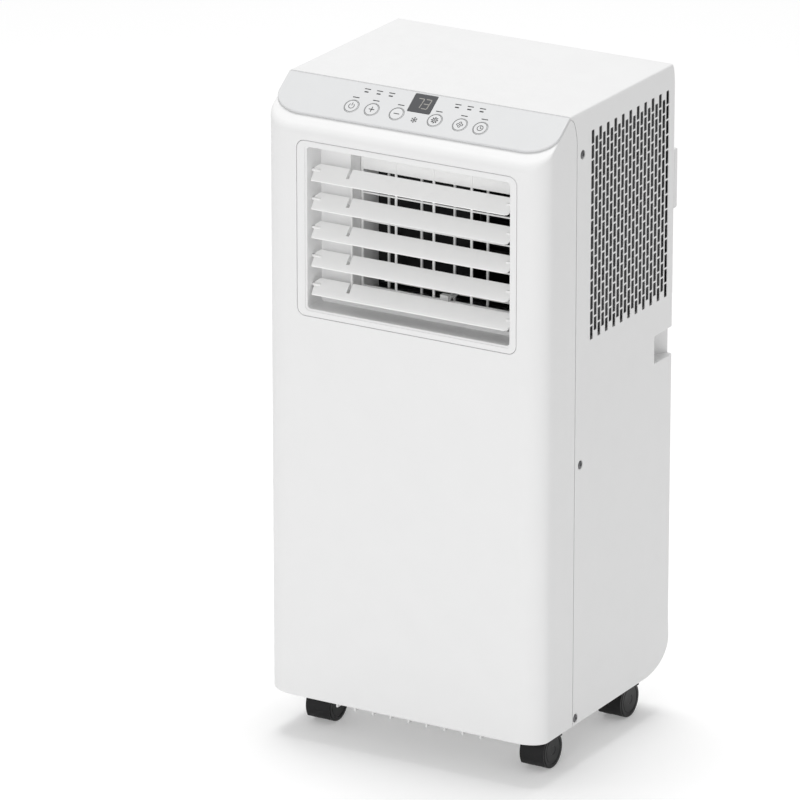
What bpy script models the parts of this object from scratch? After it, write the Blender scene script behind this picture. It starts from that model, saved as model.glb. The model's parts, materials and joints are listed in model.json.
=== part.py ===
"""Portable air conditioner on four twin-wheel swivel casters.

An assembly of casings, control panel, louvred outlet, air path, refrigeration parts and
casters. Metres, +Z up, the front faces -Y and the origin lies on the floor under the middle
of the whole object.
"""

from math import cos, pi, radians, sin, tan

import bmesh
import bpy
from mathutils import Matrix, Vector

# ---------------------------------------------------------------- driving dimensions
WIDTH = 0.305
HEIGHT = 0.660
BODY_BOTTOM = 0.044  # the casters lift the casing this far
BODY_DEPTH = 0.257  # front face to rear wall
GRIP_PROUD = 0.010  # the filter's grip is the rearmost point
WALL = 0.0025
GAP = 0.0004  # between pieces that touch

HALF = WIDTH / 2
FRONT = -(BODY_DEPTH + GRIP_PROUD) / 2
REAR = FRONT + BODY_DEPTH
TOP = HEIGHT

# Casing form
SEAM_DEPTH = 0.064  # the front shell wraps back this far
SLOPE = radians(35.5)
SLOPE_DEPTH = 0.050  # the slope meets the top this far back
FOLD_RADIUS = 0.012
CORNER_ACROSS, CORNER_BACK = 0.028, 0.019  # the front shell's soft vertical corners
REAR_CORNER = 0.004
BOTTOM_RADIUS = 0.0035
TOP_EDGE = 0.0020

# Control panel
PANEL_THICK = 0.0025
PANEL_LENGTH = 0.0468
PANEL_CORNER_ACROSS, PANEL_CORNER_DOWN = 0.033, 0.023
KEY_RADIUS = 0.0074
KEY_THICK = 0.0042
KEY_DOWN = 0.0295
KEYS = {
    "key_power": -0.0699,
    "key_temp_up": -0.0479,
    "key_temp_down": -0.0207,
    "key_mode": 0.0207,
    "key_speed": 0.0479,
    "key_timer": 0.0699,
}
DISPLAY_WIDTH, DISPLAY_HEIGHT, DISPLAY_DOWN = 0.024, 0.0214, 0.0131
BOARD_BELOW = 0.0062  # the board lies this far under the panel's face

# Air outlet
RIM_LEFT, RIM_RIGHT = -0.115, 0.124
RIM_BOTTOM, RIM_TOP = 0.436, 0.610
RIM_THICK = 0.0035
MOUTH_LEFT, MOUTH_RIGHT = -0.104, 0.1165
MOUTH_BOTTOM, MOUTH_TOP = 0.4435, 0.604
RECESS_DEPTH = 0.027
DUCT_LEFT, DUCT_RIGHT = -0.0715, 0.1145
DUCT_BOTTOM, DUCT_TOP = 0.4475, 0.600
DUCT_END = 0.0785
GUARD_DEPTH = 0.045
VANE_DEPTH = 0.0625

# Louvres
LOUVRES = 5
LOUVRE_PITCH = 0.0284
LOUVRE_TOP = 0.5786  # the top louvre's pivot
LOUVRE_DEPTH = 0.0110
LOUVRE_CHORD = 0.0175
LOUVRE_TILT = radians(42)
LOUVRE_LEFT, LOUVRE_RIGHT = -0.1010, 0.1135
PIN_RADIUS = 0.0015
LINK_X = -0.0640
LINK_CRANK = 0.0085
CRANK_PIN_RADIUS = 0.0010

# Vanes
VANES = 5
VANE_PITCH = 0.0361
VANE_FIRST = -0.0505
VANE_CRANK = 0.0090
VANE_SWING = radians(30)  # at rest the vanes' front ends lean to the right
VANE_LINK_LEVEL = 0.4650
TAB_X = 0.029  # the finger tab on the vanes' link

# Casters
CASTER_X = 0.120
CASTER_DEPTHS = {"front": 0.052, "rear": 0.205}
CASTER_TRAIL = 0.010
CASTER_WHEEL = 0.018
CASTER_HALF = 0.013
CASTER_WEB = 0.0040

# Inside
DECK_LEVEL = 0.4255
SCROLL_LEFT, SCROLL_RIGHT = 0.006, 0.098
SCROLL_AXIS_Y, SCROLL_AXIS_Z = 0.045, 0.520
EXHAUST_X, EXHAUST_Z = -0.052, 0.300
EXHAUST_RADIUS = 0.063
COMPRESSOR_X, COMPRESSOR_DEPTH = 0.070, 0.068
COMPRESSOR_FLOOR = BODY_BOTTOM + 0.0082
COMPRESSOR_TALL = 0.190
ACCUMULATOR_X, ACCUMULATOR_DEPTH = 0.004, 0.078
ACCUMULATOR_TOP = COMPRESSOR_FLOOR + 0.155

# The rear and side openings
GRILLE_LEFT, GRILLE_RIGHT = 0.018, 0.140
GRILLE_LOW, GRILLE_HIGH = 0.098, 0.350
CORD_PLACE = (-0.128, 0.120)
DRAIN_PLACE = (-0.070, 0.100)
FILTER_X = 0.1450
FILTER_THICK = 0.0030
FILTER_LOW, FILTER_HIGH = 0.4302, 0.6378

WHITE = ("white_plastic", (0.86, 0.86, 0.85), 0.42, 0.0)
PANEL_WHITE = ("panel_plastic", (0.76, 0.77, 0.78), 0.35, 0.0)
KEY_WHITE = ("key_plastic", (0.78, 0.79, 0.80), 0.35, 0.0)
BLACK = ("black_plastic", (0.02, 0.02, 0.022), 0.5, 0.0)
DARK = ("dark_window", (0.03, 0.03, 0.035), 0.15, 0.0)
GREEN = ("circuit_board", (0.02, 0.13, 0.07), 0.5, 0.0)
FIN = ("fin_aluminium", (0.72, 0.73, 0.74), 0.35, 1.0)
STEEL = ("galvanised_steel", (0.55, 0.56, 0.57), 0.4, 1.0)
COPPER = ("copper_tube", (0.72, 0.35, 0.20), 0.3, 1.0)
PAINT = ("black_paint", (0.03, 0.03, 0.03), 0.45, 0.0)
RUBBER = ("grey_rubber", (0.08, 0.08, 0.085), 0.75, 0.0)
SCREW = ("screw_steel", (0.20, 0.20, 0.21), 0.4, 1.0)
MESH = ("filter_mesh", (0.18, 0.18, 0.19), 0.7, 0.0)

# A frame turns a slab's own axes so that it is extruded along the named world axis:
# its outline is given as (y, z), (z, x) or (x, y).
ALONG_X = Matrix(((0, 0, 1, 0), (1, 0, 0, 0), (0, 1, 0, 0), (0, 0, 0, 1)))
ALONG_Y = Matrix(((0, 1, 0, 0), (0, 0, 1, 0), (1, 0, 0, 0), (0, 0, 0, 1)))
ALONG_Z = Matrix.Identity(4)
ON_SLOPE = Matrix.Translation((0, FRONT + SLOPE_DEPTH, TOP)) @ Matrix.Rotation(SLOPE, 4, "X")


# ---------------------------------------------------------------- scene and helpers
def clear_scene():
    for obj in list(bpy.data.objects):
        bpy.data.objects.remove(obj, do_unlink=True)


def new_collection(name, hidden=False):
    collection = bpy.data.collections.new(name)
    bpy.context.scene.collection.children.link(collection)
    collection.hide_render = hidden
    return collection


clear_scene()
PARTS = new_collection("portable_air_conditioner")
CUTTERS = new_collection("cutters", hidden=True)


def material(finish):
    name, colour, roughness, metallic = finish
    found = bpy.data.materials.get(name)
    if found:
        return found
    made = bpy.data.materials.new(name)
    made.use_nodes = True
    shader = made.node_tree.nodes["Principled BSDF"]
    shader.inputs["Base Color"].default_value = (*colour, 1)
    shader.inputs["Roughness"].default_value = roughness
    shader.inputs["Metallic"].default_value = metallic
    return made


def shade(mesh):
    mesh.shade_smooth()
    mesh.set_sharp_from_angle(angle=radians(35))


def place(name, mesh, finish, frame=ALONG_Z):
    """A named object of this mesh: a part where it has a finish, and a cutter where it has none."""
    obj = bpy.data.objects.new(name, mesh)
    obj.matrix_world = frame
    if finish:
        PARTS.objects.link(obj)
        mesh.materials.append(material(finish))
        shade(mesh)
    else:
        CUTTERS.objects.link(obj)
        obj.hide_render = True
        obj.display_type = "WIRE"
    return obj


def slab(name, outlines, low, high, finish=None, frame=ALONG_Z):
    """Flat outlines extruded from low to high along the frame's own Z; inner outlines are holes."""
    curve = bpy.data.curves.new(name, "CURVE")
    curve.dimensions = "2D"
    curve.fill_mode = "BOTH"
    curve.extrude = (high - low) / 2
    for outline in outlines:
        spline = curve.splines.new("POLY")
        spline.points.add(len(outline) - 1)
        for point, (a, b) in zip(spline.points, outline):
            point.co = (a, b, 0, 1)
        spline.use_cyclic_u = True
    guide = bpy.data.objects.new(name, curve)
    CUTTERS.objects.link(guide)
    mesh = bpy.data.meshes.new_from_object(
        guide.evaluated_get(bpy.context.evaluated_depsgraph_get())
    )
    bpy.data.objects.remove(guide)
    bpy.data.curves.remove(curve)
    mesh.transform(Matrix.Translation((0, 0, (low + high) / 2)))
    weld(mesh)
    return place(name, mesh, finish, frame)


def weld(mesh):
    work = bmesh.new()
    work.from_mesh(mesh)
    bmesh.ops.remove_doubles(work, verts=work.verts, dist=1e-6)
    bmesh.ops.recalc_face_normals(work, faces=work.faces)
    work.to_mesh(mesh)
    work.free()


def box(name, low, high, finish=None, round_by=0.0, frame=ALONG_Z):
    """A block between two corners, with its edges rounded where asked."""
    work = bmesh.new()
    bmesh.ops.create_cube(work, size=1)
    low, high = Vector(low), Vector(high)
    bmesh.ops.scale(work, vec=high - low, verts=work.verts)
    bmesh.ops.translate(work, vec=(low + high) / 2, verts=work.verts)
    mesh = bpy.data.meshes.new(name)
    work.to_mesh(mesh)
    work.free()
    obj = place(name, mesh, finish, frame)
    if round_by:
        bevel = obj.modifiers.new("rounded", "BEVEL")
        bevel.width = round_by
        bevel.segments = 2
    return obj


def rod(name, start, end, radius, finish=None, steps=20):
    """A plain cylinder between two points."""
    start, end = Vector(start), Vector(end)
    work = bmesh.new()
    bmesh.ops.create_cone(
        work,
        cap_ends=True,
        segments=steps,
        radius1=radius,
        radius2=radius,
        depth=(end - start).length,
    )
    mesh = bpy.data.meshes.new(name)
    work.to_mesh(mesh)
    work.free()
    turn = (end - start).to_track_quat("Z", "Y").to_matrix().to_4x4()
    return place(name, mesh, finish, Matrix.Translation((start + end) / 2) @ turn)


def turned(name, profile, finish, origin, axis="Z", steps=24, ring=False):
    """A profile of (radius, height) points turned about the axis through the origin. It runs
    down its outer side, top to bottom, and a ring's last point joins its first."""
    mesh = bpy.data.meshes.new(name)
    count = len(profile)
    edges = [(i, i + 1) for i in range(count - 1)] + ([(count - 1, 0)] if ring else [])
    mesh.from_pydata([(r, 0, h) for r, h in profile], edges, [])
    frame = {"X": ALONG_X, "Y": ALONG_Y, "Z": ALONG_Z}[axis]
    obj = place(name, mesh, finish, Matrix.Translation(origin) @ frame)
    screw = obj.modifiers.new("turned", "SCREW")
    screw.steps = screw.render_steps = steps
    screw.use_merge_vertices = True
    screw.merge_threshold = 1e-6
    return obj


def tube(name, points, radius, finish):
    """A bent pipe through these points."""
    curve = bpy.data.curves.new(name, "CURVE")
    curve.dimensions = "3D"
    curve.bevel_depth = radius
    curve.bevel_resolution = 1
    curve.use_fill_caps = True
    spline = curve.splines.new("POLY")
    spline.points.add(len(points) - 1)
    for point, place_at in zip(spline.points, points):
        point.co = (*place_at, 1)
    obj = bpy.data.objects.new(name, curve)
    PARTS.objects.link(obj)
    curve.materials.append(material(finish))
    return obj


def combine(obj, operation, *others):
    """Adds one exact Boolean for each of the others, and keeps them as cutters."""
    for other in others:
        boolean = obj.modifiers.new(other.name, "BOOLEAN")
        boolean.operation = operation
        boolean.object = other
        boolean.solver = "EXACT"
        if other.name in PARTS.objects:
            PARTS.objects.unlink(other)
            CUTTERS.objects.link(other)
        other.hide_render = True
        other.display_type = "WIRE"
    return obj


def join(obj, *others):
    return combine(obj, "UNION", *others)


def cut(obj, *others):
    return combine(obj, "DIFFERENCE", *others)


def trim(obj, *others):
    return combine(obj, "INTERSECT", *others)


def hang_on(name, location, *pieces):
    """An empty on a joint's axis, which carries the pieces that move with it."""
    pivot = bpy.data.objects.new(name + "_pivot", None)
    pivot.location = location
    pivot.empty_display_size = 0.01
    PARTS.objects.link(pivot)
    bpy.context.view_layer.update()
    for piece in pieces:
        piece.parent = pivot
        piece.matrix_parent_inverse = pivot.matrix_world.inverted()


def depth(distance):
    """The Y of a place this far behind the front face."""
    return FRONT + distance


def arc(centre, radii, start, end, steps):
    """Points along an ellipse between two angles in degrees."""
    turns = [radians(start + (end - start) * i / steps) for i in range(steps + 1)]
    return [(centre[0] + radii[0] * cos(t), centre[1] + radii[1] * sin(t)) for t in turns]


def rectangle(a_low, a_high, b_low, b_high):
    return [(a_low, b_low), (a_high, b_low), (a_high, b_high), (a_low, b_high)]


def rounded_rectangle(a_low, a_high, b_low, b_high, radius, steps=3):
    corners = [(a_high, b_high, 0), (a_low, b_high, 90), (a_low, b_low, 180), (a_high, b_low, 270)]
    points = []
    for a, b, start in corners:
        centre = (
            a - radius if a == a_high else a + radius,
            b - radius if b == b_high else b + radius,
        )
        points += arc(centre, (radius, radius), start, start + 90, steps)
    return points


def inset_outline(points, distance):
    """An anticlockwise outline with each of its edges moved inwards."""
    if not distance:
        return points
    moved = []
    count = len(points)
    for i, point in enumerate(points):
        before, after = Vector(points[i - 1]), Vector(points[(i + 1) % count])
        here = Vector(point)
        first = (here - before).normalized()
        second = (after - here).normalized()
        first_in = Vector((-first.y, first.x))
        second_in = Vector((-second.y, second.x))
        mitre = (first_in + second_in).normalized()
        moved.append(tuple(here + mitre * distance / mitre.dot(first_in)))
    return moved


# ---------------------------------------------------------------- casing form
def front_profile():
    """The front shell's side view: soft bottom edge, upright face and the ledge of the slope."""
    ledge_top = TOP - PANEL_THICK / cos(SLOPE)
    lean = 90 + SLOPE * 180 / pi
    fold_end = FOLD_RADIUS * (1 + cos(radians(lean)))
    fold_level = ledge_top - (SLOPE_DEPTH - fold_end) * tan(SLOPE) - FOLD_RADIUS * sin(radians(lean))
    back = depth(SEAM_DEPTH + 0.03)
    return (
        [(back, BODY_BOTTOM), (back, ledge_top), (depth(SLOPE_DEPTH), ledge_top)]
        + arc((depth(FOLD_RADIUS), fold_level), (FOLD_RADIUS, FOLD_RADIUS), lean, 180, 4)
        + arc(
            (depth(BOTTOM_RADIUS), BODY_BOTTOM + BOTTOM_RADIUS),
            (BOTTOM_RADIUS, BOTTOM_RADIUS),
            180,
            270,
            4,
        )
    )


def rear_profile():
    """The rear casing's side view, with its long soft heel and its soft top rear edge."""
    return (
        [(depth(0.030), TOP), (depth(0.030), BODY_BOTTOM)]
        + arc((REAR - 0.050, BODY_BOTTOM + 0.031), (0.050, 0.031), 270, 360, 6)
        + arc((REAR - 0.007, TOP - 0.024), (0.007, 0.024), 0, 90, 4)
    )


def plan_outline():
    """The casing seen from above."""
    front = depth(CORNER_BACK)
    back = REAR - REAR_CORNER
    side = HALF - REAR_CORNER
    return (
        arc((HALF - CORNER_ACROSS, front), (CORNER_ACROSS, CORNER_BACK), 270, 360, 6)
        + arc((side, back), (REAR_CORNER, REAR_CORNER), 0, 90, 2)
        + arc((-side, back), (REAR_CORNER, REAR_CORNER), 90, 180, 2)
        + arc((CORNER_ACROSS - HALF, front), (CORNER_ACROSS, CORNER_BACK), 180, 270, 6)
    )


def front_outline():
    """The casing seen from in front, as (x, z)."""
    side = HALF - BOTTOM_RADIUS
    level = BODY_BOTTOM + BOTTOM_RADIUS
    return (
        arc((side, level), (BOTTOM_RADIUS, BOTTOM_RADIUS), 270, 360, 4)
        + [(HALF, TOP - TOP_EDGE), (HALF - TOP_EDGE, TOP)]
        + [(TOP_EDGE - HALF, TOP), (-HALF, TOP - TOP_EDGE)]
        + arc((-side, level), (BOTTOM_RADIUS, BOTTOM_RADIUS), 180, 270, 4)
    )


def casing_block(name, profile, inset, finish=None):
    """The solid inside the casing's outer faces, or inside its inner ones with an inset."""
    spare = 0.02
    block = slab(name, [inset_outline(profile, inset)], -HALF - spare, HALF + spare, finish, ALONG_X)
    plan = slab(name + "_plan", [inset_outline(plan_outline(), inset)], 0, TOP + spare)
    face = [(z, x) for x, z in inset_outline(front_outline(), inset)]
    face = slab(name + "_face", [face], FRONT - spare, REAR + spare, None, ALONG_Y)
    return trim(block, plan, face)


def seam_block(name, shift):
    """Everything ahead of the seam, which bends forward as it nears the top."""
    reach = SEAM_DEPTH - SLOPE_DEPTH
    bend = arc((depth(SLOPE_DEPTH) + shift, TOP - 0.034), (reach, 0.034), 0, 90, 6)
    outline = [(FRONT - 0.02, 0), (depth(SEAM_DEPTH) + shift, 0)] + bend
    outline += [(depth(SLOPE_DEPTH) + shift, TOP + 0.02), (FRONT - 0.02, TOP + 0.02)]
    return slab(name, [outline], -HALF - 0.02, HALF + 0.02, None, ALONG_X)


def bottom_opening(name):
    """The casings are open below, inside a narrow turned-in lip."""
    low = (0.0105 - HALF, depth(0.0115), 0)
    return box(name, low, (HALF - 0.0105, depth(0.224), BODY_BOTTOM + 0.0045))


# ---------------------------------------------------------------- casings
def make_front_shell():
    shell = casing_block("front_shell", front_profile(), 0, WHITE)
    cut(shell, casing_block("front_inside", front_profile(), WALL))
    trim(shell, seam_block("front_region", -GAP))
    mouth = rounded_rectangle(
        RIM_BOTTOM - GAP, RIM_TOP + GAP, RIM_LEFT - GAP, RIM_RIGHT + GAP, 0.009
    )
    cut(
        shell,
        bottom_opening("front_bottom_opening"),
        slab("outlet_opening", [mouth], FRONT - 0.01, depth(0.02), None, ALONG_Y),
        box("key_opening", (-0.118, -0.0405, -0.02), (0.118, -0.004, 0.01), frame=ON_SLOPE),
        box("display_opening", (-0.0125, -0.0100, -0.02), (0.0125, -0.0012, 0.01), frame=ON_SLOPE),
    )


def slot_columns():
    """The side intake: upright slots in close columns."""
    columns, pitch, width = 21, 0.0073, 0.0037
    first = depth(0.0945)
    rows, low, high, bar = 2, 0.429, 0.637, 0.004
    length = (high - low - (rows - 1) * bar) / rows
    loops = []
    for column in range(columns):
        y = first + column * pitch
        for row in range(rows):
            z = low + row * (length + bar)
            loops.append(rectangle(y - width / 2, y + width / 2, z, z + length))
    return slab("intake_slots", loops, HALF - 0.006, HALF + 0.01, None, ALONG_X)


def handle_pocket(shell, side):
    """A finger pocket let into the side wall. Its inner wall slants out to the rear corner."""
    name = "pocket_left" if side < 0 else "pocket_right"
    start, low, high = depth(0.220), 0.367, 0.395
    turn, spare, skin = start + 0.012, 0.010, 0.002
    deep, shallow = HALF - 0.022, HALF - 0.006
    room = [(HALF + spare, start), (deep, start), (deep, turn), (shallow, REAR)]
    room += [(shallow, REAR + spare), (HALF + spare, REAR + spare)]
    slant = skin * 1.2
    block = [(HALF - 0.001, start - skin), (deep - skin, start - skin), (deep - skin, turn)]
    block += [(shallow - slant, REAR - 0.001), (HALF - 0.001, REAR - 0.001)]
    block, room = ([(side * x, y) for x, y in outline] for outline in (block, room))
    join(shell, slab(name + "_block", [block], low - skin, high + skin))
    cut(shell, slab(name, [room], low, high))


def rear_hole(name, place_at, radius, steps):
    """A round hole through the rear wall at this (x, z)."""
    x, z = place_at
    return rod(name, (x, REAR - 0.02, z), (x, REAR + 0.02, z), radius, steps=steps)


def rear_window(name, left, right, low, high):
    return box(name, (left, REAR - 0.01, low), (right, REAR + 0.01, high))


def make_rear_casing():
    casing = casing_block("rear_casing", rear_profile(), 0, WHITE)
    cut(casing, casing_block("rear_inside", rear_profile(), WALL))
    cut(casing, seam_block("rear_region", 0), bottom_opening("rear_bottom_opening"))
    handle_pocket(casing, 1)
    handle_pocket(casing, -1)
    filter_room = (FILTER_X - 0.0008, FILTER_X + FILTER_THICK + 0.0006)
    cut(
        casing,
        slot_columns(),
        rear_hole("exhaust_hole", (EXHAUST_X, EXHAUST_Z), EXHAUST_RADIUS + 0.0065, 24),
        rear_hole("cord_hole", CORD_PLACE, 0.0075, 16),
        rear_hole("drain_hole", DRAIN_PLACE, 0.0085, 16),
        rear_window("filter_slot", *filter_room, FILTER_LOW - 0.0006, FILTER_HIGH + 0.0006),
        rear_window("grille_opening", GRILLE_LEFT, GRILLE_RIGHT, GRILLE_LOW, GRILLE_HIGH),
    )


def make_rear_grille():
    """The condenser's intake: a frame with level bars, let into the rear wall."""
    left, right = GRILLE_LEFT + GAP, GRILLE_RIGHT - GAP
    low, high = GRILLE_LOW + GAP, GRILLE_HIGH - GAP
    rim, bar, rows = 0.006, 0.003, 12
    pitch = (high - low - 2 * rim + bar) / rows
    middle = (left + right) / 2
    outlines = [rectangle(low, high, left, right)]
    for row in range(rows):
        z = low + rim + row * pitch
        outlines.append(rectangle(z, z + pitch - bar, left + rim, middle - bar / 2))
        outlines.append(rectangle(z, z + pitch - bar, middle + bar / 2, right - rim))
    slab("rear_grille", outlines, REAR - 0.0028, REAR - 0.0002, WHITE, ALONG_Y)


def make_casing_screws():
    """Three screws a side hold the two casings together along the seam."""
    places = {"top": (0.0755, 0.617), "middle": (0.0755, 0.309), "bottom": (0.0700, 0.0525)}
    for side, hand in ((-1, "left"), (1, "right")):
        for level, (back, z) in places.items():
            name = f"casing_screw_{hand}_{level}"
            head, stem, tip = 0.0032, 0.0016, -0.0065
            y = depth(back)
            ends = (side * (HALF - 0.005), y, z), (side * (HALF + 0.005), y, z)
            cut(bpy.data.objects["rear_casing"], rod(name + "_hole", *ends, head + GAP, steps=16))
            profile = [(0, 0.0004), (head, 0.0002), (head, -0.0022)]
            profile += [(stem, -0.0022), (stem, tip), (0, tip)]
            screw = turned(name, profile, SCREW, (side * HALF, y, z), "X", steps=12)
            if side < 0:
                screw.matrix_world = screw.matrix_world @ Matrix.Rotation(pi, 4, "Y")


# ---------------------------------------------------------------- base and casters
def belly_outline(shrink):
    """The skirt under the base: a cross that keeps clear of the casters as they swivel."""
    narrow, wide, taper = 0.0850 - shrink, 0.1405 - shrink, 0.006
    front, rear = depth(0.0125) + shrink, depth(0.220) - shrink
    low, high = depth(0.090) + shrink, depth(0.165) - shrink
    right = [(narrow, front), (narrow, low), (wide, low + taper)]
    right += [(wide, high - taper), (narrow, high), (narrow, rear)]
    return right + [(-x, y) for x, y in reversed(right)]


def caster_places():
    for end, back in CASTER_DEPTHS.items():
        for hand, side in (("left", -1), ("right", 1)):
            yield f"{end}_{hand}", side * CASTER_X, depth(back)


def make_base_pan():
    """The floor of the casing, with a low skirt, deeper ribs and a boss for each caster."""
    floor, skirt_foot, rib_foot = BODY_BOTTOM + 0.0052, 0.0405, 0.0362
    rear = depth(0.222)
    side = HALF - 0.0085
    soft = [(x, y) for x, y in inset_outline(plan_outline(), 0.0085) if y < 0]
    edge = [point for point in soft if point[0] > 0] + [(side, rear), (-side, rear)]
    edge += [point for point in soft if point[0] < 0]
    pan = slab("base_pan", [edge], floor, floor + WALL, WHITE)
    join(pan, slab("belly_outer", [belly_outline(0)], skirt_foot, floor + 0.001))
    cut(pan, slab("belly_inner", [belly_outline(0.002)], 0.0300, floor))
    rib_half, rib_pitch = 0.0009, 0.020
    for index in range(9):
        x = rib_pitch * (index - 4)
        low = (x - rib_half, depth(0.0130), rib_foot)
        join(pan, box(f"pan_rib_{index}", low, (x + rib_half, depth(0.216), floor + 0.001)))
    for name, x, y in caster_places():
        join(pan, rod(f"boss_{name}", (x, y, floor + 0.001), (x, y, 0.063), 0.008, steps=12))
        cut(pan, rod(f"boss_bore_{name}", (x, y, 0.040), (x, y, 0.0605), 0.0045, steps=12))


def make_caster(name, x, y):
    """A twin-wheel caster: a hood and web on a swivel stem, and two wheels on one axle."""
    axle_y, axle_z = y + CASTER_TRAIL, CASTER_WHEEL
    room, skin, clear = CASTER_WHEEL + 0.0006, 0.0022, 0.0004
    outer = (room + skin, room + skin)
    foot = axle_z - 0.003
    web = arc((axle_y, axle_z), outer, 0, 180, 8)
    web += [(axle_y - outer[0], foot), (axle_y + outer[0], foot)]
    fork = slab(f"caster_{name}", [web], x - CASTER_WEB, x + CASTER_WEB, BLACK, ALONG_X)
    hood = arc((axle_y, axle_z), outer, 40, 180, 6)
    hood += arc((axle_y, axle_z), (room, room), 180, 40, 6)
    join(
        fork,
        slab(f"hood_{name}", [hood], x - CASTER_HALF, x + CASTER_HALF, None, ALONG_X),
        rod(f"swivel_{name}", (x, y, 0.0300), (x, y, 0.0476), 0.0085, steps=12),
        rod(f"stem_{name}", (x, y, 0.0460), (x, y, 0.0590), 0.0041, steps=12),
    )
    for side, hand in ((-1, "a"), (1, "b")):
        near, far = x + side * (CASTER_WEB - clear), x + side * (CASTER_HALF + 0.002)
        cut(fork, rod(f"wheel_room_{name}_{hand}", (near, axle_y, axle_z), (far, axle_y, axle_z),
                      room, steps=20))
    cut(fork, rod(f"axle_bore_{name}", (x - 0.02, axle_y, axle_z), (x + 0.02, axle_y, axle_z),
                  0.0036, steps=8))
    wheel = [
        (0, CASTER_HALF - 0.0012),
        (CASTER_WHEEL - 0.0012, CASTER_HALF),
        (CASTER_WHEEL, CASTER_HALF - 0.0012),
        (CASTER_WHEEL, CASTER_WEB + clear),
        (0.0030, CASTER_WEB + clear),
    ]
    profile = wheel + [(r, -h) for r, h in reversed(wheel)]
    wheels = turned(f"caster_wheels_{name}", profile, BLACK, (x, axle_y, axle_z), "X", steps=20)
    hang_on(f"caster_{name}", (x, y, 0), fork)
    hang_on(f"caster_wheels_{name}", (x, axle_y, axle_z), wheels)


# ---------------------------------------------------------------- control panel
def panel_outline():
    """The panel on its slope: full width, with soft lower corners. Y runs up the slope."""
    radii = (PANEL_CORNER_ACROSS, PANEL_CORNER_DOWN)
    across, low = HALF - PANEL_CORNER_ACROSS, PANEL_CORNER_DOWN - PANEL_LENGTH
    return (
        [(HALF, -GAP), (-HALF, -GAP)]
        + arc((-across, low), radii, 180, 270, 6)
        + arc((across, low), radii, 270, 360, 6)
    )


def key_circle(x, radius, steps=16):
    return arc((x, -KEY_DOWN), (radius, radius), 0, 360 * (steps - 1) / steps, steps - 1)


def display_outline(spare):
    half, tall = DISPLAY_WIDTH / 2 + spare, DISPLAY_HEIGHT / 2 + spare
    return rectangle(-half, half, -DISPLAY_DOWN - tall, -DISPLAY_DOWN + tall)


def make_control_panel():
    outlines = [panel_outline(), display_outline(GAP)]
    outlines += [key_circle(x, KEY_RADIUS + GAP) for x in KEYS.values()]
    slab("control_panel", outlines, -PANEL_THICK + GAP, 0, PANEL_WHITE, ON_SLOPE)
    slab("display_window", [display_outline(0)], -0.0030, -0.0002, DARK, ON_SLOPE)
    board_foot = (-0.112, -0.0395, -BOARD_BELOW - 0.0016)
    board = box("control_board", board_foot, (0.112, -0.0055, -BOARD_BELOW), GREEN, frame=ON_SLOPE)
    module_foot = (-0.0115, -0.0232, -BOARD_BELOW - 0.0005)
    join(board, box("display_module", module_foot, (0.0115, -0.0030, -0.0034), frame=ON_SLOPE))
    proud = 0.0002
    for name, x in KEYS.items():
        key = slab(name, [key_circle(x, KEY_RADIUS)], proud - KEY_THICK, proud, KEY_WHITE, ON_SLOPE)
        hang_on(name, ON_SLOPE @ Vector((x, -KEY_DOWN, 0)), key)


# ---------------------------------------------------------------- air outlet
def make_vent_housing():
    """The outlet's surround: a rim flush with the front, a recess for the louvres and a duct."""
    rim = rounded_rectangle(RIM_BOTTOM, RIM_TOP, RIM_LEFT, RIM_RIGHT, 0.0085)
    housing = slab("vent_housing", [rim], depth(0), depth(RIM_THICK), WHITE, ALONG_Y)
    skin = 0.0022
    recess = rectangle(MOUTH_BOTTOM - skin, MOUTH_TOP + skin, MOUTH_LEFT - skin, MOUTH_RIGHT + skin)
    join(housing, slab("recess_block", [recess], depth(0.002), depth(RECESS_DEPTH + skin), None, ALONG_Y))
    duct = rectangle(DUCT_BOTTOM - skin, DUCT_TOP + skin, DUCT_LEFT - skin, DUCT_RIGHT + skin)
    join(housing, slab("duct_block", [duct], depth(RECESS_DEPTH), depth(DUCT_END), None, ALONG_Y))
    mouth = rounded_rectangle(MOUTH_BOTTOM, MOUTH_TOP, MOUTH_LEFT, MOUTH_RIGHT, 0.003, 2)
    cut(housing, slab("mouth_room", [mouth], FRONT - 0.01, depth(RECESS_DEPTH), None, ALONG_Y))
    bore = rectangle(DUCT_BOTTOM, DUCT_TOP, DUCT_LEFT, DUCT_RIGHT)
    cut(housing, slab("duct_room", [bore], depth(0.02), depth(DUCT_END + 0.01), None, ALONG_Y))
    y, bore_radius, bite = depth(LOUVRE_DEPTH), PIN_RADIUS + GAP, 0.0015
    for index in range(LOUVRES):
        z = LOUVRE_TOP - index * LOUVRE_PITCH
        ends = (MOUTH_LEFT - bite, y, z), (MOUTH_LEFT + 0.003, y, z)
        cut(housing, rod(f"bore_left_{index}", *ends, bore_radius, steps=10))
        ends = (MOUTH_RIGHT - 0.003, y, z), (MOUTH_RIGHT + bite, y, z)
        cut(housing, rod(f"bore_right_{index}", *ends, bore_radius, steps=10))


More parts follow.
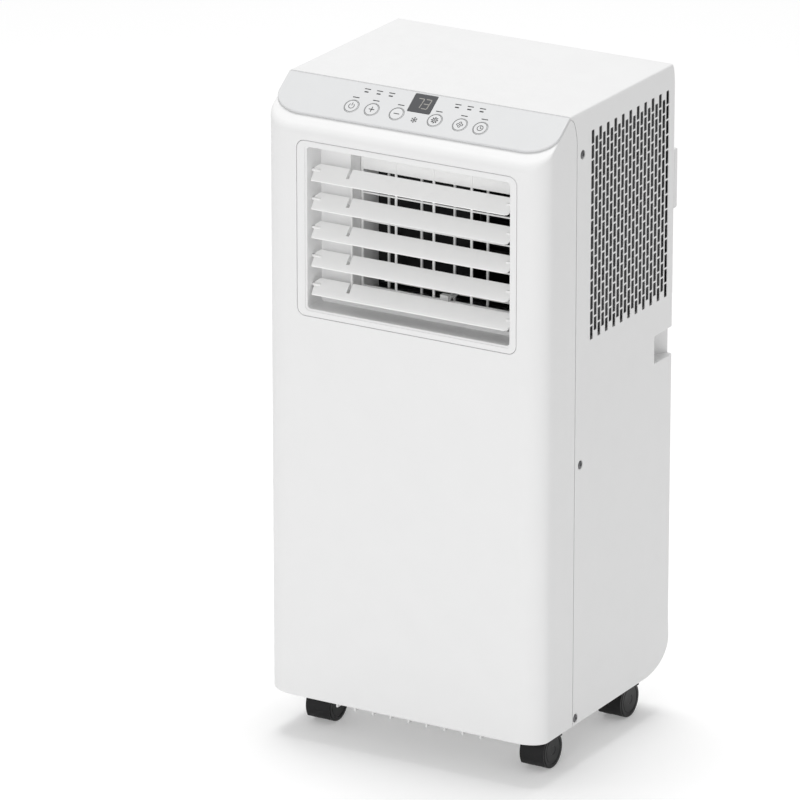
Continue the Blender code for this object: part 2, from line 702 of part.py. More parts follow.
def make_outlet_guard():
    """The fixed guard behind the louvres: level bars and three upright ribs below a closed band."""
    spare = 0.0005
    edge, bar, rib = 0.0024, 0.0016, 0.0024
    low, high = DUCT_BOTTOM + spare, DUCT_TOP - spare
    left, right = DUCT_LEFT + spare, DUCT_RIGHT - spare
    levels = [low + edge, 0.4598, 0.4700, 0.4976, 0.5251, 0.5527, 0.5760]
    ribs = [left + edge, -0.0329, 0.0084, 0.0496, right - edge]
    outlines = [rectangle(low, high, left, right)]
    for i in range(len(levels) - 1):
        for j in range(len(ribs) - 1):
            z0 = levels[i] + (bar / 2 if i else 0)
            z1 = levels[i + 1] - (bar / 2 if i < len(levels) - 2 else 0)
            x0 = ribs[j] + (rib / 2 if j else 0)
            x1 = ribs[j + 1] - (rib / 2 if j < len(ribs) - 2 else 0)
            outlines.append(rectangle(z0, z1, x0, x1))
    slab("outlet_guard", outlines, depth(GUARD_DEPTH), depth(GUARD_DEPTH + 0.002), WHITE, ALONG_Y)


def louvre_frame(index):
    """The louvre's own frame: X across, Y up the blade, Z out of its face."""
    place_at = Vector((0, depth(LOUVRE_DEPTH), LOUVRE_TOP - index * LOUVRE_PITCH))
    return Matrix.Translation(place_at) @ Matrix.Rotation(pi / 2 - LOUVRE_TILT, 4, "X")


def make_louvre(index):
    """One blade with an end pin each side, a notch for the link bar and a crank beside it."""
    name = f"louvre_{index + 1}"
    frame = louvre_frame(index)
    pivot = frame.translation
    low, high, face = -0.6 * LOUVRE_CHORD, 0.4 * LOUVRE_CHORD, 0.0016
    blade = [(LOUVRE_LEFT, low), (LOUVRE_RIGHT - 0.004, low), (LOUVRE_RIGHT - 0.0012, low + 0.0012)]
    blade += [(LOUVRE_RIGHT, low + 0.004), (LOUVRE_RIGHT, high), (LOUVRE_LEFT + 0.003, high)]
    blade += [(LOUVRE_LEFT - 0.0012, high - 0.004)]
    louvre = slab(name, [blade], -face / 2, face / 2, WHITE, frame)
    notch = 0.0026
    notch_low, notch_high = (LINK_X - notch, -0.0035, -0.01), (LINK_X + notch, 0.01, 0.01)
    cut(louvre, box(name + "_notch", notch_low, notch_high, frame=frame))
    pins = {
        "left": (MOUTH_LEFT - 0.0010, LOUVRE_LEFT + 0.006),
        "right": (LOUVRE_RIGHT - 0.006, MOUTH_RIGHT + 0.0010),
    }
    for side, (start, end) in pins.items():
        ends = (start, pivot.y, pivot.z), (end, pivot.y, pivot.z)
        join(louvre, rod(f"{name}_pin_{side}", *ends, PIN_RADIUS, steps=8))
    arm = rectangle(-0.0022, 0.0022, -LINK_CRANK - 0.0022, -0.0004)
    join(louvre, slab(name + "_crank", [arm], LINK_X - 0.0046, LINK_X - 0.0030, None, frame @ ALONG_X))
    hook = frame @ Vector((LINK_X, 0, -LINK_CRANK))
    ends = hook - Vector((0.0040, 0, 0)), hook + Vector((0.0020, 0, 0))
    join(louvre, rod(name + "_crank_pin", *ends, CRANK_PIN_RADIUS, steps=8))
    hang_on(name, pivot, louvre)


def make_louvre_link():
    """The bar that turns the five louvres together, on the pins of their cranks."""
    top = louvre_frame(0) @ Vector((LINK_X, 0, -LINK_CRANK))
    bottom = top.z - (LOUVRES - 1) * LOUVRE_PITCH
    bar = rectangle(top.y - 0.0018, top.y + 0.0018, bottom - 0.0035, top.z + 0.0035)
    link = slab("louvre_link", [bar], LINK_X - 0.0012, LINK_X + 0.0008, WHITE, ALONG_X)
    for index in range(LOUVRES):
        z = top.z - index * LOUVRE_PITCH
        ends = (LINK_X - 0.01, top.y, z), (LINK_X + 0.01, top.y, z)
        cut(link, rod(f"link_bore_{index}", *ends, CRANK_PIN_RADIUS + GAP, steps=8))
    hang_on("louvre_link", top, link)


def make_louvre_motor():
    """The stepper motor that drives the top louvre, outside the recess's left wall."""
    y, z = depth(LOUVRE_DEPTH) + 0.006, LOUVRE_TOP
    face = MOUTH_LEFT - 0.0022 - GAP
    motor = rod("louvre_motor", (face - 0.016, y, z), (face, y, z), 0.0120, STEEL, steps=16)
    ears_low, ears_high = (face - 0.0015, y - 0.0035, z - 0.0175), (face - 0.0003, y + 0.0035, z + 0.0175)
    join(motor, box("motor_ears", ears_low, ears_high))


def make_vanes():
    """Upright vanes behind the guard, on pins in the duct's floor and roof."""
    y, thin, bite = depth(VANE_DEPTH), 0.0007, 0.0005
    low, high = DUCT_BOTTOM + 0.0012, DUCT_TOP - 0.0012
    shelf = VANE_LINK_LEVEL + 0.0030
    for index in range(VANES):
        x = VANE_FIRST + index * VANE_PITCH
        name = f"vane_{index + 1}"
        frame = Matrix.Translation((x, y, 0)) @ Matrix.Rotation(VANE_SWING, 4, "Z")
        crank_low = frame @ Vector((0, -VANE_CRANK, VANE_LINK_LEVEL - bite))
        crank_high = frame @ Vector((0, -VANE_CRANK, shelf + bite))
        foot_low, foot_high = (-thin, -0.0045, low), (thin, 0.0105, shelf + 0.001)
        vane = box(name, (-thin, -0.0120, shelf), (thin, 0.0110, high), WHITE, frame=frame)
        join(
            vane,
            box(name + "_foot", foot_low, foot_high, frame=frame),
            rod(name + "_pin", (x, y, DUCT_BOTTOM + bite), (x, y, DUCT_TOP - bite), 0.0014, steps=8),
            rod(name + "_crank_pin", crank_low, crank_high, CRANK_PIN_RADIUS, steps=8),
        )
        hang_on(name, (x, y, low), vane)


def make_vane_link():
    """The bar that swings the vanes together, with the finger tab that reaches out."""
    y, level = depth(VANE_DEPTH) - VANE_CRANK * cos(VANE_SWING), VANE_LINK_LEVEL
    thick, half, spare = 0.0016, 0.0022, 0.0035
    first = VANE_FIRST + VANE_CRANK * sin(VANE_SWING)
    last = first + (VANES - 1) * VANE_PITCH
    foot, head = (first - spare, y - half, level), (last + spare, y + half, level + thick)
    link = box("vane_link", foot, head, WHITE)
    for index in range(VANES):
        x = first + index * VANE_PITCH
        ends = (x, y, level - 0.01), (x, y, level + 0.01)
        cut(link, rod(f"vane_bore_{index}", *ends, CRANK_PIN_RADIUS + GAP, steps=8))
    arm, tip, bite = 0.0030, 0.0045, 0.0006
    arm_foot = (TAB_X - arm, depth(0.0340), level + 0.0001)
    join(link, box("tab_arm", arm_foot, (TAB_X + arm, y - half + bite, level + 0.0015)))
    tip_foot = (TAB_X - tip, depth(0.0300), level - 0.0010)
    join(link, box("tab_tip", tip_foot, (TAB_X + tip, depth(0.0355), level + 0.0055)))
    hang_on("vane_link", (first, y, level), link)


# ---------------------------------------------------------------- air path and cooling
def make_mid_deck():
    """The tray between the cold side above and the hot side below."""
    spare = WALL + 0.0008
    edge = inset_outline(plan_outline(), spare)
    hole = rectangle(0.110, 0.134, depth(0.040), depth(0.060))
    wires = rectangle(-0.140, -0.118, depth(0.060), depth(0.080))
    slab("mid_deck", [edge, hole, wires], DECK_LEVEL, DECK_LEVEL + 0.0025, WHITE)


def make_coil(name, low, high, thin_axis):
    """A finned block between two tube plates that stand a little proud of it."""
    coil = box(name, low, high, FIN)
    plate, proud, bite = 0.0012, 0.0015, 0.0005
    spare = Vector((proud, 0, 0)) if thin_axis == "X" else Vector((0, proud, 0))
    for end, z0, z1 in (("low", low[2] - plate, low[2] + bite), ("high", high[2] - bite, high[2] + plate)):
        foot, head = Vector((low[0], low[1], z0)) - spare, Vector((high[0], high[1], z1)) + spare
        join(coil, box(f"{name}_{end}_plate", foot, head))


def make_blower_wheel(name, centre, radius, width):
    """A squirrel-cage wheel: a back plate and hub, a ring of blades and a front ring."""
    skin, hub = 0.0030, 0.0090
    half = width / 2
    profile = [
        (radius - skin, half),
        (radius, half),
        (radius, -half),
        (0.0030, -half),
        (0.0030, -half + 0.014),
        (hub, -half + 0.014),
        (hub, -half + 0.0020),
        (radius - skin, -half + 0.0020),
    ]
    wheel = turned(name, profile, BLACK, centre, "X", steps=20, ring=True)
    slots, end, slot_half = 10, half - 0.006, 0.0065
    for index in range(slots):
        turn = Matrix.Rotation(2 * pi * (index + 0.5) / slots, 4, "X")
        low, high = (-end, radius - 0.008, -slot_half), (end, radius + 0.004, slot_half)
        frame = Matrix.Translation(centre) @ turn
        cut(wheel, box(f"{name}_slot_{index}", low, high, frame=frame))
    hang_on(name, centre, wheel)


def make_motor(name, start, end, radius, shaft_end, axis_at):
    """A round motor with its shaft along X."""
    y, z = axis_at
    length, edge = end - start, 0.004
    profile = [(0, length), (radius - edge, length), (radius, length - edge)]
    profile += [(radius, edge), (radius - edge, 0), (0, 0)]
    motor = turned(name, profile, STEEL, (start, y, z), "X", steps=20)
    join(motor, rod(name + "_shaft", (end - 0.002, y, z), (shaft_end, y, z), 0.0025, steps=10))


def scroll_outline(centre, small, large, mouth, levels, shrink=0.0, steps=10):
    """A volute in side view that grows from its floor round the back to its roof. The mouth
    is the Y of its open end and the levels are its floor and roof there."""
    turns = [radians(-90 + 180 * i / steps) for i in range(steps + 1)]
    back = []
    for i, turn in enumerate(turns):
        radius = small + (large - small) * i / steps - shrink
        back.append((centre[0] + radius * cos(turn), centre[1] + radius * sin(turn)))
    return [(mouth, levels[0] + shrink)] + back + [(mouth, levels[1] - shrink)]


def axis_hole(name, x, axis_at, radius, steps):
    """A hole along X through a wall near this x."""
    return rod(name, (x - 0.01, *axis_at), (x + 0.01, *axis_at), radius, steps=steps)


def make_evaporator_scroll():
    """The cold blower's housing, which widens forward into the outlet's duct."""
    skin, lap = 0.002, 0.0004
    axis_at = (SCROLL_AXIS_Y, SCROLL_AXIS_Z)
    floor, roof, small, large = 0.4490, 0.5985, 0.064, 0.072
    throat, mouth = -0.018, depth(DUCT_END + GAP)
    outer = scroll_outline(axis_at, small, large, throat, (floor, roof))
    scroll = slab("evaporator_scroll", [outer], SCROLL_LEFT, SCROLL_RIGHT, BLACK, ALONG_X)
    flare = [(DUCT_LEFT - skin, mouth), (DUCT_RIGHT + skin, mouth)]
    flare += [(SCROLL_RIGHT, throat + 0.004), (SCROLL_LEFT, throat + 0.004)]
    join(scroll, slab("flare", [flare], floor + lap, roof - lap))
    inner = scroll_outline(axis_at, small, large, throat - 0.004, (floor, roof), skin)
    room = [(DUCT_LEFT, mouth - 0.01), (DUCT_RIGHT, mouth - 0.01), (DUCT_RIGHT, mouth + 0.001)]
    room += [(SCROLL_RIGHT - skin, throat + 0.003), (SCROLL_LEFT + skin, throat + 0.003)]
    room += [(DUCT_LEFT, mouth + 0.001)]
    cut(
        scroll,
        slab("scroll_room", [inner], SCROLL_LEFT + skin, SCROLL_RIGHT - skin, None, ALONG_X),
        slab("flare_room", [room], floor + skin + 0.0006, roof - skin - 0.0006),
        axis_hole("cold_inlet", SCROLL_RIGHT, axis_at, 0.046, 24),
        axis_hole("cold_shaft_hole", SCROLL_LEFT, axis_at, 0.008, 12),
    )


def make_cold_side():
    """The evaporator behind the side intake, its blower and the blower's motor."""
    make_coil("evaporator_coil", (0.1140, depth(0.092), 0.4320), (0.1400, depth(0.242), 0.6330), "X")
    make_evaporator_scroll()
    axis_at = (SCROLL_AXIS_Y, SCROLL_AXIS_Z)
    make_blower_wheel("evaporator_wheel", ((SCROLL_LEFT + SCROLL_RIGHT) / 2, *axis_at), 0.054, 0.078)
    make_motor("evaporator_motor", -0.056, SCROLL_LEFT - 0.002, 0.038, 0.030, axis_at)


def make_hot_side():
    """The condenser behind the rear intake, with its blower, motor and exhaust."""
    make_coil("condenser_coil", (0.0200, REAR - 0.0330, 0.0800), (0.1380, REAR - 0.0080, 0.3600), "Y")
    left, right, skin = -0.086, -0.018, 0.002
    small, large, wide = 0.068, 0.076, 0.060
    axis_at = (0.030, EXHAUST_Z)
    levels = (EXHAUST_Z - wide, EXHAUST_Z + wide)
    mouth = REAR - 0.0125
    mirrored = (-axis_at[0], axis_at[1])
    outer = scroll_outline(mirrored, small, large, -mouth, levels)
    inner = scroll_outline(mirrored, small, large, -mouth - 0.01, levels, skin)
    outer, inner = ([(-y, z) for y, z in points] for points in (outer, inner))
    scroll = slab("condenser_scroll", [outer], left, right, BLACK, ALONG_X)
    plate = EXHAUST_RADIUS + 0.0045
    foot = (EXHAUST_X - plate, mouth - 0.0005, EXHAUST_Z - plate)
    join(scroll, box("mouth_plate", foot, (EXHAUST_X + plate, REAR - 0.0095, EXHAUST_Z + plate)))
    cut(
        scroll,
        slab("hot_room", [inner], left + skin, right - skin, None, ALONG_X),
        axis_hole("hot_inlet", right, axis_at, 0.046, 24),
        axis_hole("hot_shaft_hole", left, axis_at, 0.008, 12),
    )
    make_blower_wheel("condenser_wheel", ((left + right) / 2, *axis_at), 0.055, 0.056)
    make_motor("condenser_motor", -0.144, left - 0.002, 0.036, -0.066, axis_at)


def make_exhaust_collar():
    """The ring that the exhaust hose slides into, let into the rear wall."""
    outer, inner = EXHAUST_RADIUS + 0.006, EXHAUST_RADIUS
    front, back = REAR - 0.0085, REAR + 0.0075
    profile = [(inner, back), (inner + 0.0025, back), (inner + 0.0025, REAR + 0.0020)]
    profile += [(outer + 0.004, REAR + 0.0020), (outer + 0.004, REAR + GAP), (outer, REAR + GAP)]
    profile += [(outer, front), (inner, front)]
    heights = [(r, h - front) for r, h in profile]
    turned("exhaust_collar", heights, WHITE, (EXHAUST_X, front, EXHAUST_Z), "Y", steps=24, ring=True)


def make_compressor():
    """The rotary compressor: a welded can on three feet, with its accumulator beside it."""
    x, y, floor, radius = COMPRESSOR_X, depth(COMPRESSOR_DEPTH), COMPRESSOR_FLOOR, 0.048
    can = [(0, COMPRESSOR_TALL), (0.020, COMPRESSOR_TALL), (0.038, COMPRESSOR_TALL - 0.008)]
    can += [(radius, COMPRESSOR_TALL - 0.022), (radius, 0.026), (0.030, 0.006), (0, 0.006)]
    compressor = turned("compressor", can, PAINT, (x, y, floor), "Z", steps=20)
    for index in range(3):
        turn = Matrix.Rotation(radians(30 + 120 * index), 4, "Z")
        frame = Matrix.Translation((x, y, floor)) @ turn
        foot = box(f"compressor_foot_{index}", (0.010, -0.010, 0.0060), (0.054, 0.010, 0.0090), frame=frame)
        ends = frame @ Vector((0.047, 0, 0)), frame @ Vector((0.047, 0, 0.0120))
        join(compressor, foot, rod(f"compressor_mount_{index}", *ends, 0.006, steps=8))
    x, y = ACCUMULATOR_X, depth(ACCUMULATOR_DEPTH)
    ends = (x, y, ACCUMULATOR_TOP - 0.110), (x, y, ACCUMULATOR_TOP)
    strap = box("accumulator_strap", (x, y - 0.004, floor + 0.090), (x + 0.036, y + 0.004, floor + 0.102))
    join(compressor, rod("accumulator", *ends, 0.015, steps=16), strap)


def bend(points, radius, steps=4):
    """A polyline whose inner corners are rounded."""
    route = [Vector(points[0])]
    for before, here, after in zip(points, points[1:], points[2:]):
        here = Vector(here)
        start = here + (Vector(before) - here).normalized() * radius
        end = here + (Vector(after) - here).normalized() * radius
        for i in range(steps + 1):
            t = i / steps
            route.append(start * (1 - t) ** 2 + here * 2 * t * (1 - t) + end * t * t)
    return route + [Vector(points[-1])]


def make_pipes():
    """The suction line down from the cold coil, and the discharge line to the hot coil."""
    x, y = ACCUMULATOR_X, depth(ACCUMULATOR_DEPTH)
    riser_x, riser_y, low, high, turn = 0.1220, depth(0.050), 0.3950, 0.4600, 0.014
    suction = [(x, y, ACCUMULATOR_TOP + 0.001), (x, y, low), (riser_x, riser_y, low)]
    suction += [(riser_x, riser_y, high), (riser_x + 0.005, depth(0.0905), high)]
    tube("suction_pipe", bend(suction, turn), 0.0048, COPPER)
    x, y, level = COMPRESSOR_X, depth(COMPRESSOR_DEPTH), 0.3400
    discharge = [(x, y, COMPRESSOR_FLOOR + COMPRESSOR_TALL + 0.001), (x, y, level)]
    discharge += [(x + 0.020, 0.0100, level), (x + 0.020, REAR - 0.0350, level)]
    tube("discharge_pipe", bend(discharge, turn), 0.0040, COPPER)


def make_electrics():
    """The control box and the fan's capacitor, which stand on the deck."""
    floor = DECK_LEVEL + 0.0075
    box("electric_box", (-0.1440, -0.0100, floor), (-0.0980, 0.1000, 0.5900), STEEL, round_by=0.002)
    capacitor = [(0, 0.070), (0.015, 0.070), (0.0175, 0.0675), (0.0175, 0), (0, 0)]
    turned("run_capacitor", capacitor, STEEL, (-0.0760, 0.0900, floor), "Z", steps=16)


def make_cord_gland_and_drain_plug():
    x, z = CORD_PLACE
    gland = [(0.0040, 0.0060), (0.0062, 0.0055), (0.0100, 0.0018), (0.0100, GAP)]
    gland += [(0.0070, GAP), (0.0070, -0.0060), (0.0040, -0.0060)]
    turned("cord_gland", gland, BLACK, (x, REAR, z), "Y", steps=16, ring=True)
    x, z = DRAIN_PLACE
    plug = [(0, 0.0060), (0.0090, 0.0055), (0.0105, 0.0020), (0.0105, GAP)]
    plug += [(0.0080, GAP), (0.0080, -0.0100), (0, -0.0100)]
    turned("drain_plug", plug, RUBBER, (x, REAR, z), "Y", steps=16)


def make_side_filter():
    """The washable filter that slides out of the rear beside the cold coil."""
    low, high = FILTER_LOW, FILTER_HIGH
    front, back = depth(0.088), REAR + 0.0015
    rim, bar, rows, columns = 0.004, 0.0016, 4, 3
    outlines = [rectangle(front, back, low, high)]
    tall = (high - low - 2 * rim + bar) / rows
    deep = (back - 0.012 - front - rim + bar) / columns
    for row in range(rows):
        for column in range(columns):
            y, z = front + rim + column * deep, low + rim + row * tall
            outlines.append(rectangle(y, y + deep - bar, z, z + tall - bar))
    sheet = slab("side_filter", outlines, FILTER_X, FILTER_X + FILTER_THICK, MESH, ALONG_X)
    join(sheet, box("filter_cap", (0.1380, REAR + GAP, 0.4270), (0.1500, REAR + 0.0026, 0.6410)))
    join(sheet, box("filter_grip", (0.1440, REAR + 0.0020, 0.5120), (0.1500, REAR + GRIP_PROUD, 0.5720)))
    hang_on("side_filter", (FILTER_X, REAR, low), sheet)


# ---------------------------------------------------------------- assembly
make_front_shell()
make_rear_casing()
make_rear_grille()
make_casing_screws()
make_base_pan()
for caster_name, caster_x, caster_y in caster_places():
    make_caster(caster_name, caster_x, caster_y)
make_control_panel()
make_vent_housing()
make_outlet_guard()
for louvre_index in range(LOUVRES):
    make_louvre(louvre_index)
make_louvre_link()
make_louvre_motor()
make_vanes()
make_vane_link()
make_mid_deck()
make_cold_side()
make_hot_side()
make_exhaust_collar()
make_compressor()
make_pipes()
make_electrics()
make_cord_gland_and_drain_plug()
make_side_filter()
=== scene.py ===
"""Looks for the portable air conditioner: fine shells, printed panel, louvres, grilles, casters
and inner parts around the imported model, in a white studio. Metres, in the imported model's frame."""

import json
from math import atan, atan2, cos, degrees, pi, radians, sin, sqrt, tan

import bmesh
import bpy
from mathutils import Matrix, Vector


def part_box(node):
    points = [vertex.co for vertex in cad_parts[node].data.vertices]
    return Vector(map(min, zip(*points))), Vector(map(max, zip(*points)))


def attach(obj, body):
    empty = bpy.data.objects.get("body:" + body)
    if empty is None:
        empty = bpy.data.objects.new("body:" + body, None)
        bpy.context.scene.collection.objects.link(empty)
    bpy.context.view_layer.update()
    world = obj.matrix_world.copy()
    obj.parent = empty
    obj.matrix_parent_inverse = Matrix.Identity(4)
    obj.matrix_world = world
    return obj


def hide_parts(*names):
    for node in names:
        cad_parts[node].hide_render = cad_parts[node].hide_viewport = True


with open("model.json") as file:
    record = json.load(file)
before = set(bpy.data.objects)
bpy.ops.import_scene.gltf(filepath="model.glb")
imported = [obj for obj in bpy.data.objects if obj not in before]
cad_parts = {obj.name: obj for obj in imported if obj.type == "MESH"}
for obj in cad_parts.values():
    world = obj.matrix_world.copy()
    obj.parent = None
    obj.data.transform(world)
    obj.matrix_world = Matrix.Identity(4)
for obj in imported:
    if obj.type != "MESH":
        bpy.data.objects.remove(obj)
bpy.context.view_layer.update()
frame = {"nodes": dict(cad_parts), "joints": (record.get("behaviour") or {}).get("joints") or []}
JOINTS = {joint["name"]: joint for joint in frame["joints"]}


def low(node):
    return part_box(node)[0]


def high(node):
    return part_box(node)[1]


def middle(node):
    return (low(node) + high(node)) / 2


def pivot(joint):
    """The place of a hinge at rest."""
    return Vector(JOINTS[joint]["pos_m"])


# ---------------------------------------------------------------- sizes
HALF = high("rear_casing").x
FRONT = low("front_shell").y
REAR = high("rear_casing").y
TOP = high("rear_casing").z
BOTTOM = low("front_shell").z
WALL = 0.0025
GAP = 0.0004
LAP = 0.0004  # how far a thin piece reaches into the one that holds it
SEAM_GAP = 0.0011

SLOPE = radians(35.5)
SLOPE_DEPTH = 0.050
SEAM_DEPTH = 0.064
SEAM_RISE = 0.034  # the seam bends forward over this height
PANEL_THICK = 0.0025
FOLD_FRONT, FOLD_SIDE = 0.0120, 0.0020  # the fold's radius over the front and over the sides
CORNER_ACROSS, CORNER_BACK = 0.028, 0.019
BOTTOM_RADIUS = 0.0035
HEEL_LONG, HEEL_TALL = 0.050, 0.031
CROWN_LONG, CROWN_TALL = 0.007, 0.024
REAR_CORNER = 0.004
HEEL_EDGE = 0.0022
TOP_EDGE = 0.0020

ALONG_X = Matrix(((0, 0, 1, 0), (1, 0, 0, 0), (0, 1, 0, 0), (0, 0, 0, 1)))
ALONG_Y = Matrix(((0, 1, 0, 0), (0, 0, 1, 0), (1, 0, 0, 0), (0, 0, 0, 1)))
ALONG_Z = Matrix.Identity(4)
ON_SLOPE = Matrix.Translation((0, FRONT + SLOPE_DEPTH, TOP)) @ Matrix.Rotation(SLOPE, 4, "X")


def depth(distance):
    """The Y of a place this far behind the front face."""
    return FRONT + distance


# ---------------------------------------------------------------- outlines
def arc(centre, radii, start, end, steps):
    turns = [radians(start + (end - start) * i / steps) for i in range(steps + 1)]
    return [(centre[0] + radii[0] * cos(t), centre[1] + radii[1] * sin(t)) for t in turns]


def circle(centre, radius, steps=48):
    return arc(centre, (radius, radius), 0, 360, steps)[:-1]


def rectangle(a_low, a_high, b_low, b_high):
    return [(a_low, b_low), (a_high, b_low), (a_high, b_high), (a_low, b_high)]


def rounded(a_low, a_high, b_low, b_high, radius, steps=6):
    radius = min(radius, (a_high - a_low) / 2 - 1e-6, (b_high - b_low) / 2 - 1e-6)
    near, far = (a_low + radius, a_high - radius), (b_low + radius, b_high - radius)
    corners = [(near[1], far[1], 0), (near[0], far[1], 90), (near[0], far[0], 180), (near[1], far[0], 270)]
    points = []
    for a, b, start in corners:
        points += arc((a, b), (radius, radius), start, start + 90, steps)
    return points


def grown(points, distance):
    """An anticlockwise outline with each of its edges moved outwards."""
    moved = []
    for i, point in enumerate(points):
        here = Vector(point)
        first = (here - Vector(points[i - 1])).normalized()
        second = (Vector(points[(i + 1) % len(points)]) - here).normalized()
        first_out, second_out = Vector((first.y, -first.x)), Vector((second.y, -second.x))
        mitre = (first_out + second_out).normalized()
        moved.append(tuple(here + mitre * distance / mitre.dot(first_out)))
    return moved


# ---------------------------------------------------------------- mesh helpers
def add_object(name, mesh, place=ALONG_Z):
    obj = bpy.data.objects.new(name, mesh)
    obj.matrix_world = place
    bpy.context.scene.collection.objects.link(obj)
    return obj


def from_work(name, work, place=ALONG_Z, mesh=None):
    """An object from a bmesh, which is freed. It takes over the mesh given, or a new one."""
    mesh = mesh or bpy.data.meshes.new(name)
    work.to_mesh(mesh)
    work.free()
    return add_object(name, mesh, place)


def from_curve(name, curve):
    """The mesh of a curve, which is removed."""
    guide = bpy.data.objects.new(name, curve)
    bpy.context.scene.collection.objects.link(guide)
    graph = bpy.context.evaluated_depsgraph_get()
    mesh = bpy.data.meshes.new_from_object(guide.evaluated_get(graph))
    bpy.data.objects.remove(guide)
    return mesh


def slab(name, outlines, start, end, place=ALONG_Z, edge=0.0):
    """A plate between two heights, with its inner outlines as holes and its edges rounded."""
    curve = bpy.data.curves.new(name, "CURVE")
    curve.dimensions = "2D"
    curve.fill_mode = "BOTH"
    curve.extrude = (end - start) / 2 - edge
    curve.bevel_depth = edge
    curve.bevel_resolution = 2
    curve.offset = -edge
    for index, outline in enumerate(outlines):
        spline = curve.splines.new("POLY")
        spline.points.add(len(outline) - 1)
        for point, (a, b) in zip(spline.points, outline if index == 0 else outline[::-1]):
            point.co = (a, b, 0, 1)
        spline.use_cyclic_u = True
    mesh = from_curve(name, curve)
    mesh.transform(Matrix.Translation((0, 0, (start + end) / 2)))
    work = bmesh.new()
    work.from_mesh(mesh)
    bmesh.ops.remove_doubles(work, verts=work.verts, dist=1e-6)
    bmesh.ops.recalc_face_normals(work, faces=work.faces)
    return from_work(name, work, place, mesh)


def loft(name, rings, place=ALONG_Z):
    """Closed rings with the same number of points, joined one to the next and capped."""
    count = len(rings[0])
    points = [tuple(point) for ring in rings for point in ring]
    faces = [tuple(range(count)), tuple(range(len(points) - count, len(points)))]
    for base in range(0, len(points) - count, count):
        for i in range(count):
            j = (i + 1) % count
            faces.append((base + i, base + j, base + count + j, base + count + i))
    mesh = bpy.data.meshes.new(name)
    mesh.from_pydata(points, [], faces)
    work = bmesh.new()
    work.from_mesh(mesh)
    bmesh.ops.recalc_face_normals(work, faces=work.faces)
    return from_work(name, work, place, mesh)


def stack(name, levels, place=ALONG_Z):
    """Outlines at their heights, joined one above the other and capped."""
    return loft(name, [[(a, b, height) for a, b in outline] for outline, height in levels], place)


def rolled(outline, face, sign, radius, out):
    """The levels of a rounded edge that ends at a face and grows outwards (1) or inwards (-1)."""
    steps = 4
    turns = [pi / 2 * i / steps for i in range(steps + 1)]
    return [(grown(outline, out * radius * (1 - cos(t))), face - sign * radius * (1 - sin(t))) for t in turns]


def flared(name, outline, face, inner, outer, radius, place=ALONG_Z):
    """A cutter for a hole from outside, whose rim at the height `face` gets a rounded edge."""
    sign = 1 if outer > face else -1
    rim = rolled(outline, face, sign, radius, 1)
    return stack(name, [(outline, inner), *rim, (grown(outline, radius), outer)], place)


def cushion(name, outline, start, end, radius, place=ALONG_Z):
    """A plate without holes, whose edges are rounded on the end side only."""
    sign = 1 if end > start else -1
    return stack(name, [(outline, start), *rolled(outline, end, sign, radius, -1)], place)


def block(name, start, end, radius=0.0, place=ALONG_Z, segments=3):
    """A block between two corners with rounded edges."""
    start, end = Vector(start), Vector(end)
    work = bmesh.new()
    bmesh.ops.create_cube(work, size=1)
    bmesh.ops.scale(work, vec=end - start, verts=work.verts)
    bmesh.ops.translate(work, vec=(start + end) / 2, verts=work.verts)
    if radius:
        edges = list(work.edges)
        bmesh.ops.bevel(work, geom=edges, offset=radius, segments=segments, profile=0.5, affect="EDGES")
    return from_work(name, work, place)


def turned(name, profile, place=ALONG_Z, steps=64, closed=False):
    """A profile of (radius, height) points turned about the frame's Z."""
    work = bmesh.new()
    rings = []
    for radius, height in profile:
        if radius < 1e-7:
            rings.append([work.verts.new((0, 0, height))])
            continue
        turns = [2 * pi * i / steps for i in range(steps)]
        rings.append([work.verts.new((radius * cos(t), radius * sin(t), height)) for t in turns])
    pairs = list(zip(rings, rings[1:])) + ([(rings[-1], rings[0])] if closed else [])
    for first, second in pairs:
        for i in range(steps):
            j = (i + 1) % steps
            corners = [first[i % len(first)], first[j % len(first)]]
            corners += [second[j % len(second)], second[i % len(second)]]
            unique = list(dict.fromkeys(corners))
            if len(unique) > 2:
                work.faces.new(unique)
    bmesh.ops.recalc_face_normals(work, faces=work.faces)
    return from_work(name, work, place)


def rod(name, start, end, radius, steps=24, edge=0.0):
    """A round bar between two points, with its ends chamfered where asked."""
    start, end = Vector(start), Vector(end)
    turn = (end - start).to_track_quat("Z", "Y").to_matrix().to_4x4()
    length = (end - start).length
    profile = [(radius, 0), (radius, length)]
    if edge:
        profile = [(radius - edge, 0), (radius, edge), (radius, length - edge), (radius - edge, length)]
    return turned(name, [(0, 0), *profile, (0, length)], Matrix.Translation(start) @ turn, steps)


def cross_rod(name, start, end, at, radius, steps=24, edge=0.0):
    """A round bar along X, from one X to another, at the Y and Z of a point."""
    return rod(name, (start, at.y, at.z), (end, at.y, at.z), radius, steps, edge)


def pipe(name, points, radius, steps=3):
    """A bent tube through these points."""
    curve = bpy.data.curves.new(name, "CURVE")
    curve.dimensions = "3D"
    curve.bevel_depth = radius
    curve.bevel_resolution = steps
    curve.use_fill_caps = True
    spline = curve.splines.new("POLY")
    spline.points.add(len(points) - 1)
    for point, place in zip(spline.points, points):
        point.co = (*place, 1)
    return add_object(name, from_curve(name, curve))


def combine(obj, operation, *others):
    for other in others:
        boolean = obj.modifiers.new(other.name, "BOOLEAN")
        boolean.operation = operation
        boolean.object = other
        boolean.solver = "EXACT"
    settle(obj)
    for other in others:
        bpy.data.objects.remove(other)
    return obj


def settle(obj):
    """Applies the object's modifiers to its mesh."""
    graph = bpy.context.evaluated_depsgraph_get()
    obj.data = bpy.data.meshes.new_from_object(obj.evaluated_get(graph))
    obj.modifiers.clear()


def add(obj, *others):
    return combine(obj, "UNION", *others)


def cut(obj, *others):
    return combine(obj, "DIFFERENCE", *others)


